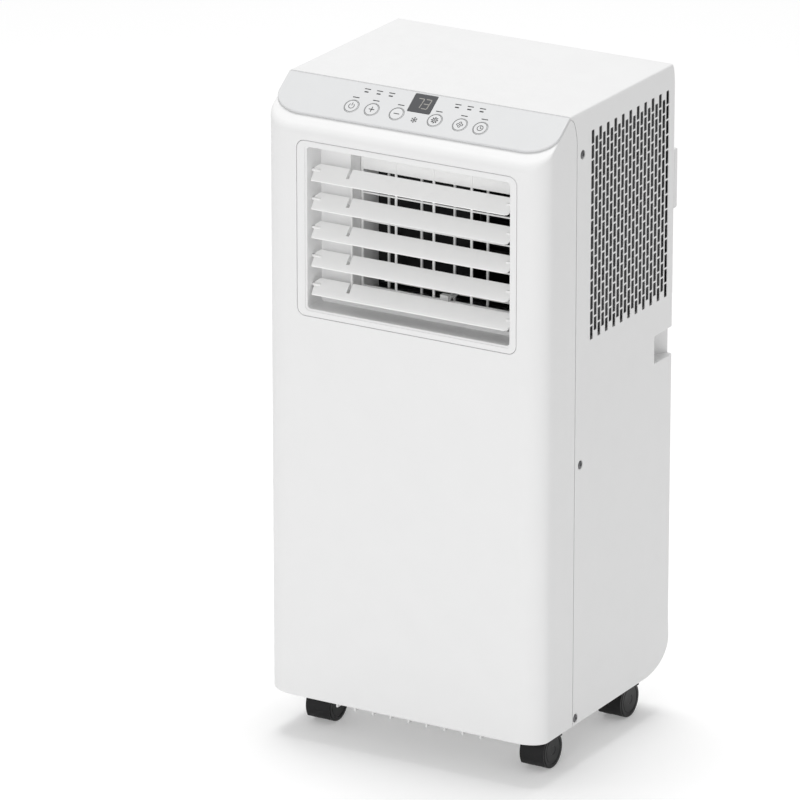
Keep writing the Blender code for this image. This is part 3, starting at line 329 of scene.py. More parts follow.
def keep_inside(obj, *others):
    return combine(obj, "INTERSECT", *others)


def merged(name, objects):
    """One object from several, each with its own place."""
    work = bmesh.new()
    for obj in objects:
        mesh = obj.data.copy()
        mesh.transform(obj.matrix_world)
        work.from_mesh(mesh)
        bpy.data.objects.remove(obj)
    return from_work(name, work)


def dress(obj, finish, *nodes, body="casing"):
    """Shades a piece, gives it its finish, and lets it ride on a body in place of CAD nodes."""
    obj.data.materials.clear()
    obj.data.materials.append(FINISHES[finish])
    obj.data.shade_smooth()
    obj.data.set_sharp_from_angle(angle=radians(32))
    weighted = obj.modifiers.new("even_normals", "WEIGHTED_NORMAL")
    weighted.keep_sharp = True
    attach(obj, body)
    if nodes:
        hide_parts(*nodes)


def refined(node, finish, body="casing", edge=0.0006, segments=2):
    """A copy of a CAD node with its edges rounded, which replaces it."""
    work = bmesh.new()
    work.from_mesh(frame["nodes"][node].data)
    bmesh.ops.remove_doubles(work, verts=work.verts, dist=1e-6)
    bmesh.ops.dissolve_limit(work, angle_limit=radians(1), verts=work.verts, edges=work.edges)
    obj = from_work(node + "_fine", work)
    bevel = obj.modifiers.new("soft_edges", "BEVEL")
    bevel.width = edge
    bevel.segments = segments
    bevel.limit_method = "ANGLE"
    bevel.angle_limit = radians(38)
    bevel.use_clamp_overlap = True
    settle(obj)
    dress(obj, finish, node, body=body)


# ---------------------------------------------------------------- finishes
FINISH_TABLE = {
    # name: material slot, colour, roughness, metallic, grain, relief, change of colour
    "casing_white": ("white_plastic", (0.80, 0.80, 0.80), 0.46, 0, 2600, 0.00003, 0.006),
    # louvres and outlet guard: the casing's white plastic made lighter, painted light that lifts the shade of
    # the recess they sit in
    "louvre_white_painted_light": ("white_plastic", (0.90, 0.90, 0.895), 0.48, 0, 2600, 0.00003, 0.006),
    "inner_white": ("white_plastic", (0.74, 0.74, 0.735), 0.5, 0, 1500, 0.00002, 0.01),
    "panel_grey": ("panel_plastic", (0.665, 0.67, 0.675), 0.38, 0, 3000, 0.00002, 0.006),
    "key_grey": ("key_plastic", (0.69, 0.695, 0.70), 0.34, 0, 3000, 0.00002, 0.006),
    "print_ink": ("key_plastic", (0.03, 0.03, 0.032), 0.55, 0, 4000, 0.00002, 0.08),
    "window": ("dark_window", (0.085, 0.087, 0.092), 0.16, 0, 500, 0.000003, 0.04),
    "display_light": ("dark_window", (0.30, 0.29, 0.27), 0.5, 0, 3000, 0.000003, 0.03),
    "air_path": ("black_plastic", (0.009, 0.009, 0.0095), 0.62, 0, 1200, 0.00002, 0.08),
    "caster_black": ("black_plastic", (0.006, 0.006, 0.0065), 0.42, 0, 1600, 0.00003, 0.2),
    "black_plastic": ("black_plastic", (0.014, 0.014, 0.015), 0.5, 0, 1600, 0.00003, 0.2),
    "circuit_board": ("circuit_board", (0.02, 0.13, 0.07), 0.42, 0, 1400, 0.00004, 0.15),
    "fin_aluminium": ("fin_aluminium", (0.74, 0.75, 0.77), 0.33, 1, 900, 0.00002, 0.06),
    "galvanised_steel": ("galvanised_steel", (0.56, 0.57, 0.58), 0.36, 1, 260, 0.00004, 0.14),
    "copper": ("copper_tube", (0.78, 0.37, 0.21), 0.28, 1, 500, 0.00002, 0.12),
    "black_paint": ("black_paint", (0.022, 0.022, 0.023), 0.42, 0, 420, 0.00008, 0.2),
    "rubber": ("grey_rubber", (0.07, 0.07, 0.073), 0.78, 0, 900, 0.00006, 0.12),
    "screw_steel": ("screw_steel", (0.16, 0.16, 0.165), 0.4, 1, 800, 0.00002, 0.15),
    "filter_mesh": ("filter_mesh", (0.080, 0.080, 0.082), 0.7, 0, 1500, 0.00006, 0.12),
}
SPECIAL_VALUES = {
    "air_path": {"Specular IOR Level": 0.25},
    "caster_black": {"Specular IOR Level": 0.3},
    "display_light": {"Emission Color": (0.80, 0.77, 0.70, 1), "Emission Strength": 0.04},
}
STRETCH = {"fin_aluminium": (1, 1, 9)}
FINISHES = {}


def set_values(node, values):
    """Sets a node's own sockets by name."""
    for socket, value in values.items():
        node.inputs[socket].default_value = value


def noise(tree, scale, detail, place):
    texture = tree.nodes.new("ShaderNodeTexNoise")
    set_values(texture, {"Scale": scale, "Detail": detail})
    tree.links.new(place, texture.inputs["Vector"])
    return texture.outputs["Fac"]


def spread(tree, value, least, most):
    """A noise brought into the range between two values."""
    scaled = tree.nodes.new("ShaderNodeMapRange")
    set_values(scaled, {"From Min": 0.3, "From Max": 0.7, "To Min": least, "To Max": most})
    tree.links.new(value, scaled.inputs["Value"])
    return scaled.outputs["Result"]


def mottle(tree, value, colour, amount):
    """The colour, a little darker and lighter with the noise."""
    ramp = tree.nodes.new("ShaderNodeValToRGB")
    for end, position, factor in zip(ramp.color_ramp.elements, (0.3, 0.7), (1 - amount, 1 + amount)):
        end.position = position
        end.color = (*(min(1, c * factor) for c in colour), 1)
    tree.links.new(value, ramp.inputs["Fac"])
    return ramp.outputs["Color"]


def make_finish(name):
    """A moulded, painted or metal surface: clouds in its colour, uneven gloss and a fine grain."""
    _, colour, roughness, metallic, grain, relief, amount = FINISH_TABLE[name]
    made = bpy.data.materials.new(name)
    made.use_nodes = True
    tree = made.node_tree
    shader = tree.nodes["Principled BSDF"]
    set_values(shader, {"Metallic": metallic, "IOR": 1.48})
    place = tree.nodes.new("ShaderNodeTexCoord").outputs["Object"]
    if name in STRETCH:
        mapping = tree.nodes.new("ShaderNodeMapping")
        set_values(mapping, {"Scale": STRETCH[name]})
        tree.links.new(place, mapping.inputs["Vector"])
        place = mapping.outputs["Vector"]
    clouds = noise(tree, 30, 3, place)
    tree.links.new(mottle(tree, clouds, colour, amount), shader.inputs["Base Color"])
    patches = noise(tree, 90, 4, place)
    uneven = spread(tree, patches, roughness * 0.88, min(1, roughness * 1.12))
    tree.links.new(uneven, shader.inputs["Roughness"])
    bump = tree.nodes.new("ShaderNodeBump")
    set_values(bump, {"Strength": 0.5, "Distance": relief})
    tree.links.new(noise(tree, grain, 2, place), bump.inputs["Height"])
    tree.links.new(bump.outputs["Normal"], shader.inputs["Normal"])
    set_values(shader, SPECIAL_VALUES.get(name, {}))
    FINISHES[name] = made


# ---------------------------------------------------------------- casing forms
LEDGE = TOP - PANEL_THICK / cos(SLOPE)  # the ledge under the panel, where the slope starts


def plan_front():
    """The front part of the casing seen from above, as (x, y) points, with a straight back."""
    front, back = depth(CORNER_BACK), depth(SEAM_DEPTH + 0.030)
    half_face = HALF - CORNER_ACROSS
    face = [(half_face * (i / 12 - 1), FRONT) for i in range(1, 24)]
    corner = arc((half_face, front), (CORNER_ACROSS, CORNER_BACK), 270, 360, 14)
    side = [(HALF, front + (depth(SEAM_DEPTH) - front) * i / 4) for i in range(1, 5)]
    right = corner + side + [(HALF, back)]
    return face + right + [(-x, y) for x, y in reversed(right)]


def outward(points):
    """The outward normal at each point of an anticlockwise outline."""
    found = []
    for i in range(len(points)):
        along = Vector(points[(i + 1) % len(points)]) - Vector(points[i - 1])
        found.append(Vector((along.y, -along.x)).normalized())
    return found


def front_block(name, inset):
    """The solid inside the front shell: an upright wall with a soft foot, whose top folds over
    into the slope, softly over the front and tightly over the sides."""
    plan = grown(plan_front(), -inset) if inset else plan_front()
    bottom_radius = BOTTOM_RADIUS - inset
    foot = BOTTOM + inset
    steps = 8
    levels = [[] for _ in range(2 * (steps + 1))]
    for (x, y), out in zip(plan, outward(plan)):
        def point(inward, z):
            return (x - out.x * inward, y - out.y * inward, z)

        rise = -out.y * tan(SLOPE)
        base = LEDGE - inset / cos(SLOPE) + (y - depth(SLOPE_DEPTH)) * tan(SLOPE)
        fold = FOLD_SIDE + (FOLD_FRONT - FOLD_SIDE) * max(0.0, -out.y) ** 1.5
        fold = max(fold - inset, 0.0004)
        centre = base + rise * fold - fold * sqrt(1 + rise * rise)
        end = pi / 2 + atan(rise)
        for i in range(steps + 1):
            turn = pi / 2 * (1 - i / steps)
            levels[i].append(point(bottom_radius * (1 - cos(turn)), foot + bottom_radius * (1 - sin(turn))))
            turn = pi + (end - pi) * i / steps
            levels[steps + 1 + i].append(point(fold * (1 + cos(turn)), centre + fold * sin(turn)))
    return loft(name, levels)


def rear_outline():
    """The rear casing from the side, as (y, z, edge radius): its foot, heel, back and top."""
    heel = arc((REAR - HEEL_LONG, BOTTOM + HEEL_TALL), (HEEL_LONG, HEEL_TALL), 270, 360, 18)
    crown = arc((REAR - CROWN_LONG, TOP - CROWN_TALL), (CROWN_LONG, CROWN_TALL), 0, 90, 12)
    front = depth(0.030)
    points = [(front, BOTTOM, BOTTOM_RADIUS)]
    points += [(front + (REAR - HEEL_LONG - front) * i / 12, BOTTOM, BOTTOM_RADIUS) for i in range(1, 12)]
    for i, (y, z) in enumerate(heel):
        points.append((y, z, HEEL_EDGE + (BOTTOM_RADIUS - HEEL_EDGE) * max(0, 1 - i / 8)))
    wall = [BOTTOM + HEEL_TALL + 0.02 * i for i in range(1, 28) if BOTTOM + HEEL_TALL + 0.02 * i < TOP - 0.03]
    points += [(REAR, z, REAR_CORNER) for z in wall]
    points += [(y, z, REAR_CORNER + (TOP_EDGE - REAR_CORNER) * i / 12) for i, (y, z) in enumerate(crown)]
    points += [(front + (REAR - CROWN_LONG - front) * (1 - i / 9), TOP, TOP_EDGE) for i in range(1, 10)]
    return points + [(front, TOP - 0.05 * i, TOP_EDGE) for i in range(1, 12)]


def rear_block(name, inset):
    """The solid inside the rear casing: its side view across the width, with soft side edges."""
    outline = [(y, z) for y, z, _ in rear_outline()]
    radii = [max(radius - inset, 0.0004) for _, _, radius in rear_outline()]
    if inset:
        outline = grown(outline, -inset)
    half = HALF - inset
    normals = outward(outline)
    rings = []
    for step in range(7):
        turn = pi / 2 * step / 6
        ring = []
        for (y, z), out, radius in zip(outline, normals, radii):
            inward = radius * (1 - sin(turn))
            ring.append((half - radius * (1 - cos(turn)), y - out.x * inward, z - out.y * inward))
        rings.append(ring)
    return loft(name, rings + [[(-x, y, z) for x, y, z in ring] for ring in reversed(rings)])


def seam_side(name, shift):
    """Everything ahead of the seam, which bends forward as it nears the top."""
    reach = SEAM_DEPTH - SLOPE_DEPTH - 0.0004
    edge = depth(SLOPE_DEPTH) + 0.0004 + shift
    curve = arc((edge, LEDGE - SEAM_RISE + 0.003), (reach, SEAM_RISE - 0.003), 0, 90, 16)
    outline = [(FRONT - 0.02, 0), (depth(SEAM_DEPTH) + shift, 0)] + curve
    outline += [(edge, TOP + 0.02), (FRONT - 0.02, TOP + 0.02)]
    return slab(name, [outline], -HALF - 0.02, HALF + 0.02, ALONG_X)


def lip_opening(name):
    """The casings are open below, inside a narrow turned-in lip."""
    side = HALF - 0.0105
    return block(name, (-side, depth(0.0115), 0), (side, depth(0.224), BOTTOM + 0.0045))


# ---------------------------------------------------------------- casings
RIM_LOW, RIM_HIGH = low("vent_housing"), high("vent_housing")
KEYS = {
    name: ON_SLOPE.inverted() @ middle(name)
    for name in ("key_power", "key_temp_up", "key_temp_down", "key_mode", "key_speed", "key_timer")
}
KEY_RADIUS = (high("key_power").x - low("key_power").x) / 2
DISPLAY = ON_SLOPE.inverted() @ middle("display_window")
DISPLAY_HALF = ((high("display_window").x - low("display_window").x) / 2, 0.0107)


def make_front_shell():
    shell = front_block("front_shell_fine", 0)
    cut(shell, front_block("front_room", WALL))
    keep_inside(shell, seam_side("front_region", -SEAM_GAP / 2))
    mouth = rounded(RIM_LOW.z - GAP, RIM_HIGH.z + GAP, RIM_LOW.x - GAP, RIM_HIGH.x + GAP, 0.0089)
    cut(
        shell,
        lip_opening("front_lip"),
        flared("outlet_room", mouth, FRONT, depth(0.02), FRONT - 0.01, 0.0006, ALONG_Y),
        block("key_room", (-0.118, -0.0405, -0.02), (0.118, -0.004, 0.01), place=ON_SLOPE),
        block("window_room", (-0.0125, -0.01, -0.02), (0.0125, -0.0012, 0.01), place=ON_SLOPE),
    )
    dress(shell, "casing_white", "front_shell")


def intake_slots():
    """The side intake: short upright slots in close columns, every other column half a step up."""
    columns, rows, pitch, width = 21, 14, 0.0073, 0.0058
    start, foot, tall, period = depth(0.0945), 0.4290, 0.0134, 0.0149
    slots = []
    for column in range(columns):
        y = start + column * pitch
        count, shift = (rows, 0.0) if column % 2 == 0 else (rows - 1, period / 2)
        for row in range(count):
            z = foot + shift + row * period
            outline = rounded(y - width / 2, y + width / 2, z, z + tall, 0.0009, 2)
            slots.append(slab("slot", [outline], HALF - 0.006, HALF + 0.01, ALONG_X))
    end, head = start + (columns - 1) * pitch, foot + rows * period
    thinned = (HALF - 0.006, start - 0.006, foot - 0.003), (HALF - 0.0006, end + 0.006, head + 0.002)
    return block("thin_wall", *thinned, 0.0004), merged("intake_slots", slots)


def finger_pocket(side):
    """The skin, the room and the soft rim of a finger pocket, which slants out to the rear corner."""
    start, foot, head, skin = depth(0.220), 0.367, 0.395, 0.002
    turn, deep, shallow, out = start + 0.012, HALF - 0.022, HALF - 0.006, HALF + 0.01
    room = [(out, start), (deep, start), (deep, turn), (shallow, REAR)]
    room += [(shallow, REAR + 0.01), (out, REAR + 0.01)]
    backed = [(HALF - 0.001, start - skin), (deep - skin, start - skin), (deep - skin, turn)]
    backed += [(shallow - skin * 1.2, REAR - 0.001), (HALF - 0.001, REAR - 0.001)]
    outlines = [[(side * x, y) for x, y in outline] for outline in (backed, room)]
    rim = rounded(start, REAR + 0.02, foot, head, 0.0012)
    return (
        slab("pocket_skin", [outlines[0]], foot - skin, head + skin),
        slab("pocket_room", [outlines[1]], foot, head),
        flared("pocket_rim", rim, side * HALF, side * (HALF - 0.0014), side * out, 0.0010, ALONG_X),
    )


def round_opening(name, centre, radius, soft=0.0005):
    """A round cutter through the rear wall at (x, z), with a softened edge."""
    outline = circle((centre[1], centre[0]), radius, 96 if radius > 0.03 else 40)
    return flared(name, outline, REAR, REAR - 0.02, REAR + 0.01, soft, ALONG_Y)


def rear_window(name, left, right, foot, head):
    outline = rounded(foot, head, left, right, 0.0010, 3)
    return flared(name, outline, REAR, REAR - 0.01, REAR + 0.01, 0.0004, ALONG_Y)


SCREW_SINK, SCREW_HEAD = 0.0042, 0.0038  # radii
EXHAUST = middle("exhaust_collar")
GLAND = middle("cord_gland")
DRAIN = middle("drain_plug")


def make_rear_casing():
    casing = rear_block("rear_casing_fine", 0)
    cut(casing, rear_block("rear_room", WALL))
    cut(casing, seam_side("rear_region", SEAM_GAP / 2), lip_opening("rear_lip"))
    for side in (1, -1):
        skin, room, rim = finger_pocket(side)
        add(casing, skin)
        cut(casing, room, rim)
    cut(casing, *intake_slots())
    net_low, net_high = low("side_filter"), high("side_filter")
    grille_low, grille_high = low("rear_grille"), high("rear_grille")
    exhaust_radius = (high("exhaust_collar").x - EXHAUST.x) - 0.0035
    cut(
        casing,
        round_opening("exhaust_room", (EXHAUST.x, EXHAUST.z), exhaust_radius),
        round_opening("gland_room", (GLAND.x, GLAND.z), 0.0075, 0.0003),
        round_opening("drain_room", (DRAIN.x, DRAIN.z), 0.0085, 0.0003),
        rear_window("filter_room", 0.1442, 0.1486, net_low.z + 0.0026, net_high.z - 0.0026),
        rear_window("grille_room", grille_low.x - GAP, grille_high.x + GAP, grille_low.z - GAP,
                    grille_high.z + GAP),
    )
    for side in (1, -1):
        for name in ("top", "middle", "bottom"):
            at = middle(f"casing_screw_right_{name}")
            outer = side * (HALF + 0.005)
            sink = cross_rod("screw_sink", side * (HALF - 0.005), outer, at, SCREW_SINK)
            rim = circle((at.y, at.z), SCREW_SINK)
            soft = flared("screw_rim", rim, side * HALF, side * (HALF - 0.0014), outer, 0.0011, ALONG_X)
            cut(casing, sink, soft)
    dress(casing, "casing_white", "rear_casing")


def make_casing_screws():
    """Pan-head screws with a cross recess, three down each side."""
    for side, hand in ((-1, "left"), (1, "right")):
        for level in ("top", "middle", "bottom"):
            node = f"casing_screw_{hand}_{level}"
            at = middle(node)
            head = arc((0, -0.0008), (SCREW_HEAD, 0.0012), 90, 0, 5)
            profile = head + [(SCREW_HEAD, -0.0022), (0.0016, -0.0024), (0.0016, -0.0065), (0, -0.0065)]
            place = Matrix.Translation((side * HALF, at.y, at.z)) @ ALONG_X
            if side < 0:
                place = place @ Matrix.Rotation(pi, 4, "X")
            screw = turned(node + "_fine", profile, place, 32)
            for turn in (0, 90):
                spin = place @ Matrix.Rotation(radians(turn + 20), 4, "Z")
                cut(screw, block("recess", (-0.0019, -0.0004, -0.0010), (0.0019, 0.0004, 0.0010), place=spin))
            dress(screw, "screw_steel", node)


def make_rear_grille():
    """The condenser's intake: a soft-edged frame, level blades and three upright ties."""
    foot, head = low("rear_grille"), high("rear_grille")
    rim, rows = 0.0055, 30
    outer = rounded(foot.z, head.z, foot.x, head.x, 0.0012, 3)
    inner = rounded(foot.z + rim, head.z - rim, foot.x + rim, head.x - rim, 0.0008, 2)
    pieces = [slab("grille_frame", [outer, inner], foot.y, head.y, ALONG_Y, 0.0004)]
    pitch = (head.z - foot.z - 2 * rim) / rows
    tilt = Matrix.Rotation(radians(-28), 4, "X")
    for row in range(1, rows):
        z = foot.z + rim + row * pitch
        place = Matrix.Translation((0, (foot.y + head.y) / 2, z)) @ tilt
        ends = (foot.x + rim - LAP, -0.0013, -0.0008), (head.x - rim + LAP, 0.0013, 0.0008)
        pieces.append(block("grille_blade", *ends, 0.0004, place, 2))
    for part in (0.25, 0.5, 0.75):
        x = foot.x + (head.x - foot.x) * part
        ends = (x - 0.0012, foot.y, foot.z + rim), (x + 0.0012, foot.y + 0.0016, head.z - rim)
        pieces.append(block("grille_tie", *ends, 0.0003))
    dress(merged("rear_grille_fine", pieces), "casing_white", "rear_grille")


# ---------------------------------------------------------------- control panel
def panel_outline(shrink):
    """The panel on its slope: full width, with soft lower corners. Y runs up the slope."""
    across_radius, down_radius, length = 0.033 - shrink, 0.023 - shrink, 0.0468
    across, foot = HALF - 0.033, 0.023 - length
    return (
        [(HALF - shrink, -GAP - shrink), (shrink - HALF, -GAP - shrink)]
        + arc((-across, foot), (across_radius, down_radius), 180, 270, 16)
        + arc((across, foot), (across_radius, down_radius), 270, 360, 16)
    )


def make_control_panel():
    """A plate with a rolled edge all round, let through by the keys and the window."""
    roll, steps = 0.0011, 5
    levels = [(panel_outline(0), -PANEL_THICK + GAP)]
    for i in range(steps + 1):
        turn = pi / 2 * i / steps
        levels.append((panel_outline(roll * (1 - cos(turn))), -roll * (1 - sin(turn))))
    panel = stack("control_panel_fine", levels, ON_SLOPE)
    width, tall = DISPLAY_HALF[0] + GAP, DISPLAY_HALF[1] + GAP
    window = rounded(-width, width, DISPLAY.y - tall, DISPLAY.y + tall, 0.0012, 4)
    cut(panel, flared("window_cut", window, 0, -0.01, 0.01, 0.0003, ON_SLOPE))
    for at in KEYS.values():
        hole = circle((at.x, at.y), KEY_RADIUS + GAP, 64)
        cut(panel, flared("key_cut", hole, 0, -0.01, 0.01, 0.0003, ON_SLOPE))
    dress(panel, "panel_grey", "control_panel")


INK = 0.0005  # the printed lines' width
PRINT = (0.00002, 0.00008)  # and their foot and head above the surface
FIGURE_LIFT = (-0.00018, -0.00010)
SIGN_SCALE = 1.3
KEY_FACE = 0.0002


def ring(centre, radius, width=INK, steps=40, start=0, end=360):
    """A printed ring, or a part of one."""
    inner = radius - width
    outlines = [circle(centre, radius, steps), circle(centre, inner, steps)]
    if end - start < 360:
        bow = arc(centre, (radius, radius), start, end, steps)
        outlines = [bow + arc(centre, (inner, inner), end, start, steps)]
    return slab("ring", outlines, *PRINT, ON_SLOPE)


def stroke(start, end, width=INK, lift=PRINT):
    """A straight printed line with round ends."""
    start, end = Vector(start), Vector(end)
    turn = degrees(atan2(end.y - start.y, end.x - start.x))
    outline = arc(end, (width / 2, width / 2), turn - 90, turn + 90, 6)
    outline += arc(start, (width / 2, width / 2), turn + 90, turn + 270, 6)
    return slab("stroke", [outline], *lift, ON_SLOPE)


def aimed(turn):
    """The unit vector at this angle."""
    return Vector((cos(turn), sin(turn)))


def power_sign():
    return [ring((0, 0), 0.0024, INK, 30, 125, 415), stroke((0, 0.0006), (0, 0.0030))]


def minus_sign():
    return [stroke((-0.0021, 0), (0.0021, 0), INK * 1.3)]


def plus_sign():
    return minus_sign() + [stroke((0, -0.0021), (0, 0.0021), INK * 1.3)]


def mode_sign():
    """A small wheel with eight teeth."""
    teeth = [aimed(pi / 4 * i) for i in range(8)]
    wheel = [ring((0, 0), 0.0009, INK, 24), ring((0, 0), 0.0020)]
    return wheel + [stroke(tooth * 0.0020, tooth * 0.0026, INK * 1.6) for tooth in teeth]


def fan_sign():
    """Four curved blades round a hub."""
    signs = [ring((0, 0), 0.0006, 0.0004, 20)]
    for turn in (0, 90, 180, 270):
        signs.append(ring(aimed(radians(turn)) * 0.0016, 0.0011, INK, 20, turn - 150, turn + 120))
    return signs


def clock_sign():
    return [ring((0, 0), 0.0025), stroke((0, 0), (0, 0.0016)), stroke((0, 0), (0.0012, -0.0004))]


def frost_sign():
    """Six arms with two barbs each."""
    signs = []
    for i in range(6):
        turn = pi / 3 * i + pi / 2
        signs.append(stroke((0, 0), aimed(turn) * 0.0033, INK * 1.1))
        for side in (-1, 1):
            start = aimed(turn) * 0.0019
            signs.append(stroke(start, start + aimed(turn + side * radians(48)) * 0.0011))
    return signs


SIGNS = {
    "key_power": power_sign,
    "key_temp_up": plus_sign,
    "key_temp_down": minus_sign,
    "key_mode": mode_sign,
    "key_speed": fan_sign,
    "key_timer": clock_sign,
}


def placed(signs, at, height=0.0, scale=1.0):
    """The signs at a place on the slope."""
    for sign in signs:
        place = Matrix.Translation((at[0], at[1], height))
        sign.data.transform(place @ Matrix.Diagonal((scale, scale, 1, 1)))
    return signs


def make_keys():
    """Key caps with a rounded edge, each with a printed ring and sign that move with it."""
    for name, at in KEYS.items():
        outline = circle((at.x, at.y), KEY_RADIUS, 64)
        cap = cushion(name + "_cap", outline, KEY_FACE - 0.0042, KEY_FACE, 0.0005, ON_SLOPE)
        dress(cap, "key_grey", name, body=name)
        signs = placed(SIGNS[name](), at, KEY_FACE, SIGN_SCALE)
        signs += placed([ring((0, 0), KEY_RADIUS - 0.0005, 0.00045, 96)], at, KEY_FACE)
        dress(merged(name + "_print", signs), "print_ink", body=name)


def caption(x, y, width):
    """Two short dashes that stand for a caption."""
    half = width / 2
    ends = (-half, -half * 0.15), (half * 0.15, half)
    return [stroke((x + start, y), (x + end, y), INK * 2.0) for start, end in ends]


def make_panel_print():
    """Captions over the keys and lamps, the lamps' dashes, and the frost sign under the window."""
    signs = []
    for at in KEYS.values():
        signs += caption(at.x, at.y + 0.0107, 0.0062)
    for x in (-0.0360, -0.0493, -0.0625, 0.0360, 0.0493, 0.0625):
        signs += caption(x, -0.0072, 0.0058)
        signs.append(stroke((x - 0.0016, -0.0107), (x + 0.0016, -0.0107), 0.0014))
    signs += placed(frost_sign(), (0.0, -0.0330))
    dress(merged("panel_print", signs), "print_ink")


def seven_segments(x, y, segments, height):
    """A seven-segment figure, leaning a little."""
    half, mid, lean = height * 0.27, height / 2, 0.10
    ends = {
        "a": ((-half, mid), (half, mid)),
        "b": ((half, mid), (half, 0)),
        "c": ((half, 0), (half, -mid)),
        "d": ((-half, -mid), (half, -mid)),
        "g": ((-half, 0), (half, 0)),
    }
    bars = []
    for segment in segments:
        start, end = (Vector((x + a + b * lean, y + b)) for a, b in ends[segment])
        gap = (end - start).normalized() * height * 0.05
        bars.append(stroke(start + gap, end - gap, height * 0.085, FIGURE_LIFT))
    return bars


def make_display():
    """The smoked window, with its figures showing at the surface."""
    half, tall = DISPLAY_HALF
    outline = rounded(-half, half, DISPLAY.y - tall, DISPLAY.y + tall, 0.0010, 4)
    window = cushion("display_window_fine", outline, -0.0030, -0.0002, 0.0003, ON_SLOPE)
    dress(window, "window", "display_window")
    bars = []
    for x, segments in ((-0.0040, "abc"), (0.0040, "abcdg")):
        bars += seven_segments(x, DISPLAY.y, segments, 0.0112)
    dress(merged("display_figures", bars), "display_light")


def make_control_board():
    """The board under the panel, with its chips, capacitors and switches."""
    face = -0.0062
    chips = []

    def chip(low_x, low_y, high_x, high_y, tall):
        chips.append(block("chip", (low_x, low_y, face), (high_x, high_y, face + tall), 0.0002, ON_SLOPE))

    for x in (-0.095, -0.060, 0.035, 0.085):
        chip(x - 0.006, -0.0150, x + 0.006, -0.0080, 0.0012)
    for x in (-0.085, -0.030, 0.030, 0.060, 0.100):
        at = ON_SLOPE @ Vector((x, -0.0340, face)), ON_SLOPE @ Vector((x, -0.0340, face + 0.0018))
        chips.append(rod("capacitor", *at, 0.0022, 20, 0.0002))
    for at in KEYS.values():
        chip(at.x - 0.003, at.y - 0.003, at.x + 0.003, at.y + 0.003, 0.0007)
    dress(merged("board_parts", chips), "black_plastic")
    refined("control_board", "circuit_board", edge=0.0002)


# ---------------------------------------------------------------- air outlet
MOUTH_LEFT, MOUTH_RIGHT = RIM_LOW.x + 0.011, RIM_HIGH.x - 0.0075
MOUTH_BOTTOM, MOUTH_TOP = RIM_LOW.z + 0.0075, RIM_HIGH.z - 0.006
RECESS = depth(0.027)
DUCT_LOW, DUCT_HIGH = low("outlet_guard"), high("outlet_guard")
DUCT_SPARE = 0.0005
SKIN = 0.0022


def duct_outline(spare):
    """The guard's outline, as (z, x) points, with this much room around it."""
    return rectangle(DUCT_LOW.z - spare, DUCT_HIGH.z + spare, DUCT_LOW.x - spare, DUCT_HIGH.x + spare)


def make_vent_housing():
    """The outlet's surround: a soft-edged rim with a step round the mouth, a recess and a duct."""
    rim = rounded(RIM_LOW.z, RIM_HIGH.z, RIM_LOW.x, RIM_HIGH.x, 0.0085, 10)
    housing = cushion("vent_housing_fine", rim, depth(0.0035), depth(0), 0.0008, ALONG_Y)
    recess = rounded(MOUTH_BOTTOM - SKIN, MOUTH_TOP + SKIN, MOUTH_LEFT - SKIN, MOUTH_RIGHT + SKIN, 0.005)
    duct = duct_outline(DUCT_SPARE + SKIN)
    add(
        housing,
        slab("recess_skin", [recess], depth(0.002), RECESS + SKIN, ALONG_Y),
        slab("duct_skin", [duct], RECESS + 0.0001, depth(0.0785), ALONG_Y),
    )
    mouth = rounded(MOUTH_BOTTOM, MOUTH_TOP, MOUTH_LEFT, MOUTH_RIGHT, 0.0032)
    step = rounded(MOUTH_BOTTOM - 0.0022, MOUTH_TOP + 0.002, MOUTH_LEFT - 0.0022, MOUTH_RIGHT + 0.002, 0.0045)
    bore = duct_outline(DUCT_SPARE)
    cut(
        housing,
        slab("mouth_step", [step], FRONT - 0.01, depth(0.0007), ALONG_Y),
        flared("mouth_room", mouth, depth(0.0007), RECESS, FRONT - 0.01, 0.0006, ALONG_Y),
        slab("duct_room", [bore], depth(0.02), depth(0.09), ALONG_Y),
    )
    holes = []
    for index in range(1, 6):
        at = pivot(f"louvre_{index}_tilt")
        holes.append(cross_rod("bore", MOUTH_LEFT - 0.0015, MOUTH_LEFT + 0.003, at, 0.0019))
        holes.append(cross_rod("bore", MOUTH_RIGHT - 0.003, MOUTH_RIGHT + 0.0015, at, 0.0019))
    cut(housing, merged("pin_bores", holes))
    dress(housing, "casing_white", "vent_housing")


def make_outlet_guard():
    """The fixed guard behind the louvres: level bars and upright ribs, with a closed band on top."""
    edge, reach = 0.0024, 0.0022  # the frame's width, and where the bars end inside it
    front, back = DUCT_LOW.y, DUCT_HIGH.y
    left, right, foot, head = DUCT_LOW.x + reach, DUCT_HIGH.x - reach, DUCT_LOW.z + reach, DUCT_HIGH.z - reach
    pieces = [slab("guard_frame", [duct_outline(0), duct_outline(-edge)], front, back, ALONG_Y, 0.0003)]
    pieces.append(slab("guard_band", [rectangle(0.5760, head, left, right)], front + 0.0005, back, ALONG_Y))
    for z in (0.4598, 0.4700, 0.4976, 0.5251, 0.5527):
        bar = rounded(front, back, z - 0.0008, z + 0.0008, 0.0007, 4)
        pieces.append(slab("guard_bar", [bar], left, right, ALONG_X))
    for x in (-0.0329, 0.0084, 0.0496):
        rib = rounded(x - 0.0012, x + 0.0012, front, back, 0.0007, 4)
        pieces.append(slab("guard_rib", [rib], foot, head, ALONG_Z))
    dress(merged("outlet_guard_fine", pieces), "louvre_white_painted_light", "outlet_guard")


LOUVRE_CHORD = 0.0175
LOUVRE_TILT = radians(42)
VANE_SWING = radians(30)  # at rest the vanes' front ends lean to the right
LINK_X = middle("louvre_link").x + 0.0002
LINK_CRANK = 0.0085
LOUVRE_LEFT, LOUVRE_RIGHT = MOUTH_LEFT + 0.0030, MOUTH_RIGHT - 0.0030


